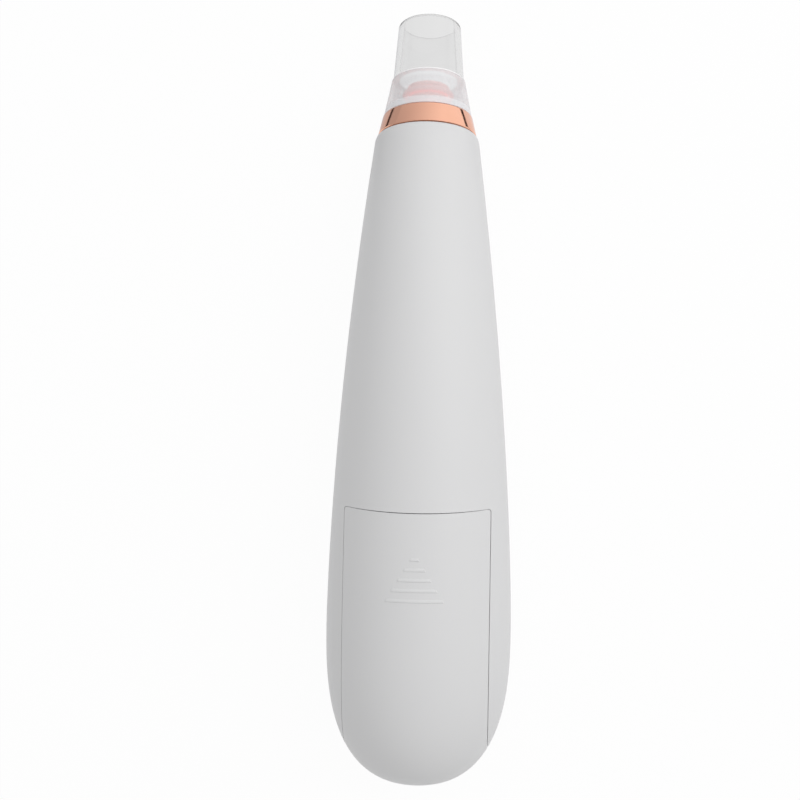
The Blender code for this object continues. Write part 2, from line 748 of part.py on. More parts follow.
def conical_spring(low, high, wide_low):
    """Points along a spring that narrows towards the cell."""
    count = int(SPRING_TURNS * 10)
    points = []
    for i in range(count + 1):
        s = i / count
        radius = 0.0046 - 0.0020 * (s if wide_low else 1 - s)
        a = 2 * pi * SPRING_TURNS * s
        points.append(Vector((radius * cos(a), radius * sin(a), low + (high - low) * s)))
    return points


def make_batteries(finishes, tool):
    """Two cells head to tail, and the plates and springs that join them."""
    low_seat = BAY_LOW + GAP + PLATE
    high_seat = BAY_HIGH - GAP - PLATE
    cell = [(0.0, 0.0), (CELL_R - 0.0004, 0.0), (CELL_R, 0.0004), (CELL_R, CELL_BODY - 0.0005)]
    cell += [(CELL_R - 0.0005, CELL_BODY), (CELL_NUB_R, CELL_BODY)]
    cell += [(CELL_NUB_R, CELL_BODY + CELL_NUB), (0.0, CELL_BODY + CELL_NUB)]
    reach = CELL_BODY + CELL_NUB
    left_low = high_seat - GAP - reach
    right_low = low_seat + GAP + reach
    add_object("battery_left", turned(cell), finishes["cell"], tool, (-CELL_X, CELL_Y, left_low))
    right = add_object("battery_right", turned(cell), finishes["cell"], tool)
    right.location = (CELL_X, CELL_Y, right_low)
    right.rotation_euler = (pi, 0.0, 0.0)

    low = (-BRIDGE_HALF, CELL_Y - PLATE_HALF, BAY_LOW + GAP)
    bridge = block(low, (BRIDGE_HALF, CELL_Y + PLATE_HALF, low_seat))
    add_object("contact_bridge", bridge, finishes["nickel"], tool)
    for name, x in (("contact_positive", -CELL_X), ("contact_negative", CELL_X)):
        low = (x - PLATE_HALF, CELL_Y - PLATE_HALF, high_seat)
        plate = block(low, (x + PLATE_HALF, CELL_Y + PLATE_HALF, BAY_HIGH - GAP))
        plate = add_object(name, plate, finishes["nickel"], tool)
        strip = block((x - TAIL_HALF, -0.0006, high_seat + 0.0001), (x + TAIL_HALF, -0.0002, TAIL_TOP))
        combine(plate, add_object(f"{name}_tail", strip, None, tool), "UNION")
    room = SPRING_WIRE + GAP
    spans = {
        "spring_left": (-CELL_X, low_seat + room, left_low - room, True),
        "spring_right": (CELL_X, right_low + room, high_seat - room, False),
    }
    for name, (x, low, high, wide_low) in spans.items():
        coil = conical_spring(low, high, wide_low)
        spring = tube_object(name, coil, SPRING_WIRE, finishes["nickel"], tool, 1)
        spring.location = (x, CELL_Y, 0.0)
    turn = (-pi / 2, 0.0, 0.0)
    for name, z in SCREW_PLACES.items():
        top = BAY_FLOOR - GAP
        profile = [(0.0, top - 0.0014), (SCREW_HEAD_R - 0.0005, top - 0.0014), (SCREW_HEAD_R, top - 0.0008)]
        profile += [(SCREW_HEAD_R, top), (SCREW_R, top), (SCREW_R, 0.0115), (0.0, 0.0125)]
        add_object(name, turned(profile, steps=20), finishes["steel"], tool, (0, 0, z), turn)


def rotor_outline(radius, neck_radius, poles=3):
    """A wound rotor's section: broad poles with slots between them."""
    points = []
    slot = radians(13)
    for pole in range(poles):
        start = 2 * pi * pole / poles + slot
        end = 2 * pi * (pole + 1) / poles - slot
        for i in range(9):
            a = start + (end - start) * i / 8
            points.append((radius * cos(a), radius * sin(a)))
        for a in (end + slot * 0.6, end + slot * 1.4):
            points.append((neck_radius * cos(a), neck_radius * sin(a)))
    return points


def make_motor(finishes, drive):
    """The motor: can, end cap, magnets and terminals, and the turning shaft and rotor."""
    bore = SHAFT_R + SHAFT_PLAY
    cap_low = CAN_LOW - GAP - CAP_H
    can = [
        (MOTOR_R, CAN_LOW),
        (MOTOR_R, CAN_TOP - 0.0006),
        (MOTOR_R - 0.0006, CAN_TOP),
        (BEARING_R, CAN_TOP),
        (BEARING_R, CAN_TOP + BEARING_H),
        (bore, CAN_TOP + BEARING_H),
        (bore, CAN_TOP - CAN_WALL),
        (MOTOR_R - CAN_WALL, CAN_TOP - CAN_WALL),
        (MOTOR_R - CAN_WALL, CAN_LOW),
    ]
    add_object("motor_can", turned(can, True), finishes["steel"], drive)
    cap = [
        (bore, CAN_LOW - GAP),
        (MOTOR_R - 0.0004, CAN_LOW - GAP),
        (MOTOR_R - 0.0004, cap_low),
        (BEARING_R, cap_low),
        (BEARING_R, cap_low - BEARING_H),
        (bore, cap_low - BEARING_H),
    ]
    add_object("motor_end_cap", turned(cap, True), finishes["dark"], drive)
    for side, x in (("left", -TERMINAL_X), ("right", TERMINAL_X)):
        low = (x - 0.0014, -TERMINAL_WALL / 2, cap_low - GAP - TERMINAL_H)
        blade = block(low, (x + 0.0014, TERMINAL_WALL / 2, cap_low - GAP))
        add_object(f"motor_terminal_{side}", blade, finishes["nickel"], drive)
    spread = radians(56)
    inner = MAGNET_R - MAGNET_WALL
    for side, middle in (("left", pi), ("right", 0.0)):
        angles = [middle - spread + 2 * spread * i / 10 for i in range(11)]
        outline = [(MAGNET_R * cos(a), MAGNET_R * sin(a)) for a in angles]
        outline += [(inner * cos(a), inner * sin(a)) for a in reversed(angles)]
        magnet = extruded(outline, CAN_LOW + MAGNET_INSET, CAN_LOW + MAGNET_INSET + MAGNET_H)
        add_object(f"magnet_{side}", magnet, finishes["dark"], drive)

    outline = rotor_outline(ROTOR_R, ROTOR_CORE)
    hub = [((SHAFT_R + GAP) * cos(atan2(y, x)), (SHAFT_R + GAP) * sin(atan2(y, x))) for x, y in outline]
    rotor = extruded(outline, CAN_LOW + ROTOR_INSET, CAN_LOW + ROTOR_INSET + ROTOR_H, hub)
    add_object("motor_rotor", rotor, finishes["copper"], drive)
    add_object("motor_shaft", rod(SHAFT_R, CAN_LOW - SHAFT_TAIL, SHAFT_TOP, 20), finishes["steel"], drive)
    cam_bore = CAM_LOW + CAM_BORE_H
    cam = [(0.0, cam_bore), (SHAFT_R + GAP, cam_bore), (SHAFT_R + GAP, CAM_LOW), (CAM_R, CAM_LOW)]
    cam += [(CAM_R, CAM_TOP), (0.0, CAM_TOP)]
    cam = add_object("drive_cam", turned(cam), finishes["dark"], drive)
    nod = empty("pin_axis", drive, (0.0, 0.0, NOD_CENTRE), (0.0, NOD, 0.0))
    pin_low = -PIN_DROP - PIN_H
    hole = rod(PIN_R + GAP, pin_low - GAP, -CAM_DROP + 0.0015, 16)
    combine(cam, add_object("pin_hole", hole, None, nod), "DIFFERENCE")
    add_object("drive_pin", rod(PIN_R, pin_low, -PIN_DROP, 16), finishes["steel"], nod)
    turn = [2 * pi * i / LOBE_STEPS for i in range(LOBE_STEPS)]
    reach = [PLATE_HUB + PLATE_LOBE * (0.5 + 0.5 * cos(3 * a)) ** 2 for a in turn]
    plate = [(r * cos(a), r * sin(a)) for a, r in zip(turn, reach)]
    plate = extruded(plate, -PLATE_DROP - PLATE_H, -PLATE_DROP, circle(PIN_R + GAP, LOBE_STEPS))
    add_object("wobble_plate", plate, finishes["white"], nod)


def ring_places(radius, start):
    """Three places round the drive axis."""
    return [(radius * cos(a), radius * sin(a)) for a in (start + 2 * pi * i / 3 for i in range(3))]


def make_pump(finishes, drive):
    """The diaphragm pump: base, diaphragm, valve plate, cover and its three screws."""
    screws = ring_places(PUMP_SCREW_RING, pi / 3)
    floor = PUMP_LOW + BASE_FLOOR

    def drilled(thing, low, high):
        for number, (x, y) in enumerate(screws, 1):
            hole = rod(PUMP_SCREW_R + GAP, low, high, 14)
            hole = add_object(f"{thing.name}_hole_{number}", hole, None, drive, (x, y, 0))
            combine(thing, hole, "DIFFERENCE")

    base = [
        (PUMP_R, PUMP_LOW),
        (PUMP_R, BASE_TOP),
        (PUMP_R - PUMP_WALL, BASE_TOP),
        (PUMP_R - PUMP_WALL, floor),
        (BASE_BORE, floor),
        (BASE_BORE, PUMP_LOW),
    ]
    base = add_object("pump_base", turned(base, True), finishes["grey"], drive)
    for number, (x, y) in enumerate(screws, 1):
        boss = rod(PUMP_BOSS_R, floor - 0.0010, BASE_TOP - 0.0001, 16)
        boss = add_object(f"base_boss_{number}", boss, None, drive, (x, y, 0))
        combine(base, boss, "UNION")
    drilled(base, floor + 0.0012, BASE_TOP + 0.0010)

    disc_r = PUMP_R - GAP
    skin = add_object("diaphragm", rod(disc_r, BASE_TOP + GAP, SKIN_TOP), finishes["rubber"], drive)
    for number, (x, y) in enumerate(ring_places(CUP_RING, 0.0), 1):
        cup = rod(CUP_R, BASE_TOP + GAP - CUP_DEPTH, SKIN_TOP - SKIN_H / 2, 18)
        cup = add_object(f"cup_{number}", cup, None, drive, (x, y, 0))
        combine(skin, cup, "UNION")
    drilled(skin, BASE_TOP - 0.0010, SKIN_TOP + 0.0010)
    valves = add_object("valve_plate", rod(disc_r, SKIN_TOP + GAP, VALVE_TOP), finishes["dark"], drive)
    drilled(valves, SKIN_TOP - 0.0010, VALVE_TOP + 0.0010)

    cover = [
        (PUMP_R, COVER_LOW),
        (PUMP_R, COVER_TOP - 0.0008),
        (PUMP_R - 0.0008, COVER_TOP),
        (BARB_R, COVER_TOP),
        (BARB_R, NOZZLE_TOP),
        (BARB_R - 0.0009, NOZZLE_TOP),
        (BARB_R - 0.0009, COVER_LOW + CHAMBER_H),
        (CHAMBER_R, COVER_LOW + CHAMBER_H),
        (CHAMBER_R, COVER_LOW),
    ]
    cover = add_object("pump_cover", turned(cover, True), finishes["grey"], drive)
    drilled(cover, COVER_LOW - 0.0010, COVER_TOP + 0.0010)
    for number, (x, y) in enumerate(screws, 1):
        seat = COVER_TOP + GAP
        crown = seat + PUMP_SCREW_HEAD_H
        profile = [(0.0, floor + 0.0025), (PUMP_SCREW_R, floor + 0.0030), (PUMP_SCREW_R, seat)]
        profile += [(PUMP_SCREW_HEAD_R, seat), (PUMP_SCREW_HEAD_R, crown), (0.0, crown + 0.0004)]
        add_object(f"pump_screw_{number}", turned(profile, steps=14), finishes["steel"], drive, (x, y, 0))


def on_axis(y, z, tilt, height, x=0.0, out=0.0):
    """A point in the tool's frame, given along an axis that leans forward."""
    return Vector((x, y + height * sin(tilt) + out * cos(tilt), z + height * cos(tilt) - out * sin(tilt)))


def make_hose_and_wires(finishes, tool):
    neck_y, neck_z, _ = spine(NECK_T)
    ends = [
        on_axis(DRIVE_Y, DRIVE_Z, DRIVE_TILT, COVER_TOP + 0.0008),
        on_axis(DRIVE_Y, DRIVE_Z, DRIVE_TILT, NOZZLE_TOP),
        on_axis(neck_y, neck_z, BEND, BARB_END),
        on_axis(neck_y, neck_z, BEND, -0.0042),
    ]
    hose = pipe(smooth_line(ends, 3), BARB_R + 0.0011, BARB_R + GAP)
    add_object("air_hose", hose, finishes["silicone"], tool)

    board = BOARD_BACK - GAP
    wire = 0.0006
    for side, name in ((-1, "red"), (1, "black")):
        x = side * CELL_X
        route = [
            Vector((x, -0.0002 + GAP + wire, TAIL_TOP - 0.0007)),
            Vector((x, 0.0016, TAIL_TOP + 0.0004)),
            Vector((x, 0.0070, TAIL_TOP + 0.0014)),
            Vector((x, board, TAIL_TOP + 0.0014)),
        ]
        tube_object(f"battery_wire_{name}", smooth_line(route, 4), wire, finishes[name], tool)
        x = side * TERMINAL_X
        start = on_axis(DRIVE_Y, DRIVE_Z, DRIVE_TILT, -0.0030, x, TERMINAL_WALL / 2 + GAP + wire)
        route = [
            start,
            start + Vector((-side * 0.0002, 0.0030, -0.0004)),
            Vector((side * 0.0046, 0.0085, DRIVE_Z - 0.0028)),
            Vector((side * 0.0045, board, DRIVE_Z - 0.0024)),
        ]
        tube_object(f"motor_wire_{name}", smooth_line(route, 4), wire, finishes[name], tool)


def main():
    clear_scene()
    finishes = {
        "white": finish_of("satin white plastic", (0.80, 0.80, 0.79), 0.38),
        "copper": finish_of("brushed copper plating", (0.86, 0.52, 0.38), 0.28, 1.0),
        "rose_gold": finish_of("rose gold plastic", (0.80, 0.52, 0.44), 0.35, 0.6),
        "clear": finish_of("clear plastic", (0.95, 0.96, 0.97), 0.08, 0.0, 0.9),
        "silicone": finish_of("silicone", (0.85, 0.85, 0.83), 0.55),
        "sponge": finish_of("white sponge", (0.88, 0.87, 0.84), 0.95),
        "lens": finish_of("milky lens", (0.92, 0.93, 0.95), 0.25),
        "dark": finish_of("black moulding", (0.03, 0.03, 0.03), 0.5),
        "steel": finish_of("bright steel", (0.62, 0.62, 0.62), 0.3, 1.0),
        "nickel": finish_of("nickel strip", (0.66, 0.63, 0.58), 0.32, 1.0),
        "board": finish_of("green board", (0.03, 0.22, 0.09), 0.45),
        "cell": finish_of("battery sleeve", (0.07, 0.07, 0.08), 0.3),
        "grey": finish_of("pump nylon", (0.55, 0.56, 0.57), 0.5),
        "rubber": finish_of("diaphragm rubber", (0.05, 0.05, 0.05), 0.7),
        "red": finish_of("red wire", (0.62, 0.03, 0.03), 0.5),
        "black": finish_of("black wire", (0.02, 0.02, 0.02), 0.5),
    }
    neck_y, neck_z, _ = spine(NECK_T)
    length = neck_z + HEAD_TOP * cos(BEND) + (HEAD_TOP_R - RIM_ROUND) * sin(BEND)
    tool = empty("tool", None, (0.0, -length / 2, FLAT_DEPTH), (-pi / 2, 0.0, 0.0))
    neck = empty("neck_axis", tool, (0.0, neck_y, neck_z), (-BEND, 0.0, 0.0))
    drive = empty("drive_axis", tool, (0.0, DRIVE_Y, DRIVE_Z), (-DRIVE_TILT, 0.0, 0.0))

    make_front_shell(finishes["white"], tool, drive)
    make_rear_shell(finishes["white"], tool, drive)
    make_battery_door(finishes["white"], tool)
    make_neck(finishes, neck)
    make_control(finishes, tool)
    make_batteries(finishes, tool)
    make_motor(finishes, drive)
    make_pump(finishes, drive)
    make_hose_and_wires(finishes, tool)


main()
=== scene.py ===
"""Looks of a hand-held pore vacuum that lies on its flat front, back up.

The housing, the battery door, the neck, the suction head, the control and the cells are
built fine here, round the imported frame. They are drawn in the tool's own frame, where z
runs up from the bottom end to the neck, y towards the flat front and x to the right as
seen from the back. The tool's matrix then lays them down. Metres throughout.
"""

from __future__ import annotations

import logging
from collections.abc import Callable, Iterable, Sequence
from dataclasses import dataclass, field
from enum import Enum
from math import cos, pi, radians, sin

import bmesh
import bpy
from mathutils import Matrix, Vector

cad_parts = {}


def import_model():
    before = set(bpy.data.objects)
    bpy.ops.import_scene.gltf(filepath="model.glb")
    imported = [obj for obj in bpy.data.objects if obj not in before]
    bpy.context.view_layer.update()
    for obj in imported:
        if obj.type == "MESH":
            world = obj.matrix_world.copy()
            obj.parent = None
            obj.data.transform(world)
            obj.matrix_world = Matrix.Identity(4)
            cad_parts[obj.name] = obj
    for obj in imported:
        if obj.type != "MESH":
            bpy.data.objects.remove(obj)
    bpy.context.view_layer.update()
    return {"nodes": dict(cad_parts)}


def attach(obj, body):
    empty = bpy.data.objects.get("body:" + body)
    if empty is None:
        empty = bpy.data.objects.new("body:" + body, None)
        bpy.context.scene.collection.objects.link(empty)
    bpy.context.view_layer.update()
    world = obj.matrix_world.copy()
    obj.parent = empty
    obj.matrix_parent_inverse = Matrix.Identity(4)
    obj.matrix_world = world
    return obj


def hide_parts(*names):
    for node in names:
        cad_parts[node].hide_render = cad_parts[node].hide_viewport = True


LOG = logging.getLogger("pore_vacuum")
GAP = 0.0003
AROUND_X = -pi / 2
ON_AXIS = 1e-9
WELD = 1e-7
SLIVER = 1e-8
CORNER_SHARE = 0.45

Colour = tuple[float, float, float]
Point = Sequence[float]
Profile = list[tuple[float, float]]


class Body(Enum):
    """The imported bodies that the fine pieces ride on."""

    HOUSING = "housing"
    HEAD = "head"
    DOOR = "door"
    BUTTON = "button"


class Half(Enum):
    """The two halves of the housing, with the way that each one faces along y."""

    FRONT = 1.0
    REAR = -1.0


class Cut(Enum):
    """How one solid works on another."""

    JOIN = "UNION"
    TAKE = "DIFFERENCE"
    KEEP = "INTERSECT"


class Grain(Enum):
    """How a finish's marks lie: evenly, round the piece's z axis, or along it."""

    EVEN = (1.0, 1.0, 1.0)
    ROUND = (0.02, 0.02, 1.0)
    ALONG = (1.0, 1.0, 0.04)


# Shader wiring


class Value:
    """A number's socket, on which Python's operators add Math nodes."""

    def __init__(self, tree: bpy.types.NodeTree, socket: bpy.types.NodeSocket) -> None:
        """Wrap a socket.

        Args:
            tree: the node tree that holds the socket.
            socket: an output that gives a number.
        """
        self.tree = tree
        self.socket = socket

    def math(self, operation: str, *terms: Value | float, clamp: bool = False) -> Value:
        """Add a Math node.

        Args:
            operation: the node's operation.
            terms: its inputs in order, as wrapped sockets or numbers.
            clamp: whether the result is held between 0 and 1.

        Returns:
            The node's result.
        """
        node = self.tree.nodes.new("ShaderNodeMath")
        node.operation = operation
        node.use_clamp = clamp
        for place, term in zip(node.inputs, terms):
            if isinstance(term, Value):
                self.tree.links.new(term.socket, place)
            else:
                place.default_value = term
        return Value(self.tree, node.outputs[0])

    def __add__(self, other: Value | float) -> Value:
        """Add two numbers."""
        return self.math("ADD", self, other)

    def __radd__(self, other: float) -> Value:
        """Add two numbers."""
        return self.math("ADD", other, self)

    def __sub__(self, other: Value | float) -> Value:
        """Take the other number away."""
        return self.math("SUBTRACT", self, other)

    def __rsub__(self, other: float) -> Value:
        """Take this number away from the other."""
        return self.math("SUBTRACT", other, self)

    def __mul__(self, other: Value | float) -> Value:
        """Multiply two numbers."""
        return self.math("MULTIPLY", self, other)

    def __rmul__(self, other: float) -> Value:
        """Multiply two numbers."""
        return self.math("MULTIPLY", other, self)

    def between(self, low: float, high: float) -> Value:
        """A step that rises from 0 at low to 1 at high, which may be the smaller one."""
        return self.math("MULTIPLY", self - low, 1.0 / (high - low), clamp=True)


class Wiring:
    """Adds the nodes of one material or world."""

    def __init__(self, tree: bpy.types.NodeTree) -> None:
        """Start from an empty tree."""
        self.tree = tree
        tree.nodes.clear()

    def node(
        self,
        kind: str,
        settings: dict[str, object] | None = None,
        inputs: dict[str | int, object] | None = None,
    ) -> bpy.types.Node:
        """Add a node of any kind.

        Args:
            kind: the node's type.
            settings: properties that are set before the sockets.
            inputs: numbers, colours, wrapped values or output sockets, by input name or place.

        Returns:
            The new node.
        """
        made = self.tree.nodes.new(kind)
        for name, setting in (settings or {}).items():
            setattr(made, name, setting)
        for name, source in (inputs or {}).items():
            self.feed(made.inputs[name], source)
        return made

    def feed(self, place: bpy.types.NodeSocket, source: object) -> None:
        """Link or set one input.

        Args:
            place: the input.
            source: a wrapped value, an output socket, a colour, a vector or a number.
        """
        if isinstance(source, Value):
            self.tree.links.new(source.socket, place)
        elif isinstance(source, bpy.types.NodeSocket):
            self.tree.links.new(source, place)
        elif place.type == "RGBA":
            place.default_value = (*source, 1.0)
        else:
            place.default_value = source

    def value(self, node: bpy.types.Node, name: str | int = 0) -> Value:
        """Wrap one output of a node as a number."""
        return Value(self.tree, node.outputs[name])

    def place(self) -> bpy.types.NodeSocket:
        """The point's own place in its piece, in metres."""
        return self.node("ShaderNodeTexCoord").outputs["Object"]

    def parts(self, vector: bpy.types.NodeSocket) -> tuple[Value, Value, Value]:
        """Split a vector into its x, y and z."""
        split = self.node("ShaderNodeSeparateXYZ", inputs={0: vector})
        return self.value(split, 0), self.value(split, 1), self.value(split, 2)

    def noise(self, size: float, grain: Grain = Grain.EVEN, detail: float = 2.0) -> Value:
        """Noise whose marks are about a given size.

        Args:
            size: the size of a mark, in metres.
            grain: how the marks lie.
            detail: how many finer layers the noise has.

        Returns:
            The noise, around 0.5.
        """
        shares = tuple(share / size for share in grain.value)
        stretched = self.node(
            "ShaderNodeVectorMath",
            {"operation": "MULTIPLY"},
            {0: self.place(), 1: shares},
        )
        made = self.node(
            "ShaderNodeTexNoise",
            inputs={"Vector": stretched.outputs[0], "Scale": 1.0, "Detail": detail},
        )
        return self.value(made)

    def blend(self, share: Value | float, first: object, second: object) -> bpy.types.NodeSocket:
        """Mix two colours.

        Args:
            share: 0 for the first colour and 1 for the second.
            first: a colour or a colour's socket.
            second: a colour or a colour's socket.

        Returns:
            The mixed colour's socket.
        """
        mix = self.node("ShaderNodeMix", {"data_type": "RGBA"}, {0: share, 6: first, 7: second})
        return mix.outputs[2]

    def bump(self, height: Value, depth: float) -> bpy.types.NodeSocket:
        """A normal bent by a height map, whose depth is in metres."""
        made = self.node("ShaderNodeBump", inputs={"Height": height, "Distance": depth, "Strength": 1.0})
        return made.outputs[0]


def scaled(colour: Colour, share: float) -> Colour:
    """A colour made lighter or darker by a share."""
    return tuple(min(part * share, 1.0) for part in colour)


@dataclass(frozen=True)
class Finish:
    """A finish whose colour, gloss and height vary a little over the surface."""

    name: str
    colour: Colour
    roughness: float
    metallic: float = 0.0
    grain: Grain = Grain.EVEN
    mark: float = 0.0004
    depth: float = 0.000004
    tint: float = 0.03
    spread: float = 0.08
    coat: float = 0.0
    specular: float = 0.5
    # Strength of a painted glow: the finish emits its own colour, standing in for light that does not reach
    # it.
    painted_and_backdrop_glow: float = 0.0
    drift_ratio: float = 30.0
    drift_detail: float = 3.0
    gloss_ratio: float = 3.0

    def material(self) -> bpy.types.Material:
        """Find or make the finish's material."""
        made = bpy.data.materials.get(self.name)
        if made is None:
            made = bpy.data.materials.new(self.name)
            made.use_nodes = True
            wiring = Wiring(made.node_tree)
            surface = self.shader(wiring)
            wiring.node("ShaderNodeOutputMaterial", inputs={"Surface": surface})
            made.diffuse_color = (*self.colour, 1.0)
        return made

    def base(self, wiring: Wiring) -> bpy.types.NodeSocket:
        """The base colour, which drifts slowly and has finer marks in it."""
        drift = wiring.noise(self.mark * self.drift_ratio, detail=self.drift_detail)
        marks = wiring.noise(self.mark, self.grain)
        share = drift * 0.5 + marks * 0.5
        return wiring.blend(share, scaled(self.colour, 1 - self.tint), scaled(self.colour, 1 + self.tint))

    def gloss(self, wiring: Wiring) -> Value:
        """The roughness, around its own value."""
        marks = wiring.noise(self.mark * self.gloss_ratio, self.grain)
        return marks * self.spread + (self.roughness - self.spread / 2)

    def relief(self, wiring: Wiring) -> bpy.types.NodeSocket:
        """The fine bump of the surface."""
        return wiring.bump(wiring.noise(self.mark, self.grain), self.depth)

    def shader(self, wiring: Wiring) -> bpy.types.NodeSocket:
        """Wire the finish's own shader.

        Args:
            wiring: the material's nodes.

        Returns:
            The shader's socket.
        """
        made = wiring.node(
            "ShaderNodeBsdfPrincipled",
            inputs={
                "Base Color": self.base(wiring),
                "Roughness": self.gloss(wiring),
                "Metallic": self.metallic,
                "Coat Weight": self.coat,
                "Specular IOR Level": self.specular,
                "Normal": self.relief(wiring),
            },
        )
        # Painted glow: the finish's own colour is emitted, which lightens the part though it is no lamp.
        if self.painted_and_backdrop_glow > 0:
            made.inputs["Emission Color"].default_value = (*self.colour, 1.0)
            made.inputs["Emission Strength"].default_value = self.painted_and_backdrop_glow
        return made.outputs[0]


@dataclass(frozen=True)
class BrushedRing(Finish):
    """Plated metal, brushed round the piece, so that its highlights run along the axis."""

    brushing: float = 0.75
    quarter_turn: float = 0.25

    def shader(self, wiring: Wiring) -> bpy.types.NodeSocket:
        """Wire the brushed metal."""
        made = super().shader(wiring)
        made.node.inputs["Anisotropic"].default_value = self.brushing
        made.node.inputs["Anisotropic Rotation"].default_value = self.quarter_turn
        return made


@dataclass(frozen=True)
class ClearPlastic(Finish):
    """Clear moulded plastic, faintly uneven, with a frosted lower end that has a painted glow."""

    ior: float = 1.49
    frosted_below: float = 0.0154
    frost_run: float = 0.0001
    end_painted_glow: float = 0.32
    end_shade: float = 0.72
    end_roughness: float = 0.6

    def shader(self, wiring: Wiring) -> bpy.types.NodeSocket:
        """Wire the clear plastic."""
        height = wiring.parts(wiring.place())[2]
        end = height.between(self.frosted_below + self.frost_run, self.frosted_below)
        # The frosted end emits its own colour: a painted glow that lightens it.
        frost = wiring.node(
            "ShaderNodeBsdfPrincipled",
            inputs={
                "Base Color": scaled(self.colour, self.end_shade),
                "Roughness": self.end_roughness,
                "Emission Color": self.colour,
                "Emission Strength": self.end_painted_glow,
            },
        )
        made = wiring.node(
            "ShaderNodeBsdfPrincipled",
            inputs={
                "Base Color": self.colour,
                "Roughness": self.roughness,
                "IOR": self.ior,
                "Transmission Weight": 1.0,
                "Normal": self.relief(wiring),
            },
        )
        mixed = wiring.node("ShaderNodeMixShader", inputs={0: end, 1: made.outputs[0], 2: frost.outputs[0]})
        return mixed.outputs[0]


@dataclass(frozen=True)
class FrostedSkirt(Finish):
    """Frosted plastic: a milky veil outside, fainter on the lining and faintest in the socket."""

    veil: float = 0.44
    band: float = 0.33
    band_top: float = 0.0072
    collar: float = 0.08
    collar_low: float = 0.0138
    lining: float = 0.19
    socket: float = 0.02
    skirt_radius: float = 0.0111
    skirt_low: float = 0.0056
    skirt_slope: float = 0.19
    outside_edge: tuple[float, float] = (0.0007, 0.0004)
    lining_edge: tuple[float, float] = (0.0021, 0.0018)
    band_run: float = 0.0004
    collar_run: float = 0.0008
    mottle: float = 0.04

    def shader(self, wiring: Wiring) -> bpy.types.NodeSocket:
        """Wire the veil, by how far out a point lies."""
        x, y, height = wiring.parts(wiring.place())
        square = x * x + y * y
        out = square.math("SQRT", square) + height * self.skirt_slope
        edge = self.skirt_radius + self.skirt_low * self.skirt_slope
        outside = out.between(*(edge - inward for inward in self.outside_edge))
        within = out.between(*(edge - inward for inward in self.lining_edge))
        lining = within * (self.lining - self.socket) + self.socket
        band = height.between(self.band_top + self.band_run, self.band_top)
        collar = height.between(self.collar_low - self.collar_run, self.collar_low + self.collar_run)
        veil = wiring.noise(self.mark) * self.mottle + (self.veil - self.mottle / 2)
        cover = veil + band * self.band + collar * self.collar
        made = wiring.node(
            "ShaderNodeBsdfPrincipled",
            inputs={
                "Base Color": self.base(wiring),
                "Roughness": self.gloss(wiring),
                "Alpha": outside * (cover - lining) + lining,
                "Normal": self.relief(wiring),
            },
        )
        return made.outputs[0]


@dataclass(frozen=True)
class Sleeve(Finish):
    """A cell's printed sleeve: dark, with a brass-coloured shoulder and bare metal ends."""

    low: float = 0.0006
    top: float = 0.0482
    shoulder: float = 0.0340
    run: float = 0.0001
    brass: Colour = (0.60, 0.36, 0.13)
    brass_metal: float = 0.85
    tin: Colour = (0.72, 0.72, 0.70)

    def shader(self, wiring: Wiring) -> bpy.types.NodeSocket:
        """Wire the sleeve's bands along the cell."""
        height = wiring.parts(wiring.place())[2]
        low_end = height.between(self.low + self.run, self.low)
        bare = low_end + height.between(self.top, self.top + self.run)
        brass = height.between(self.shoulder, self.shoulder + self.run)
        body = wiring.blend(brass, self.base(wiring), self.brass)
        colour = wiring.blend(bare, body, self.tin)
        made = wiring.node(
            "ShaderNodeBsdfPrincipled",
            inputs={
                "Base Color": colour,
                "Roughness": self.gloss(wiring),
                "Metallic": bare.math("MAXIMUM", bare, brass * self.brass_metal),
                "Coat Weight": self.coat,
                "Normal": self.relief(wiring),
            },
        )
        return made.outputs[0]


@dataclass(frozen=True)
class Lacquer(Finish):
    """A lacquered circuit board, with paler tracks under the lacquer."""

    track: float = 0.0022
    track_edge: tuple[float, float] = (0.36, 0.40)
    scatter: float = 0.6
    paler: float = 1.9

    def base(self, wiring: Wiring) -> bpy.types.NodeSocket:
        """The board's colour, with its tracks."""
        cells = wiring.node(
            "ShaderNodeTexVoronoi",
            {"distance": "CHEBYCHEV", "feature": "F1"},
            {"Vector": wiring.place(), "Scale": 1.0 / self.track, "Randomness": self.scatter},
        )
        track = wiring.value(cells, "Distance").between(*self.track_edge)
        return wiring.blend(track, super().base(wiring), scaled(self.colour, self.paler))


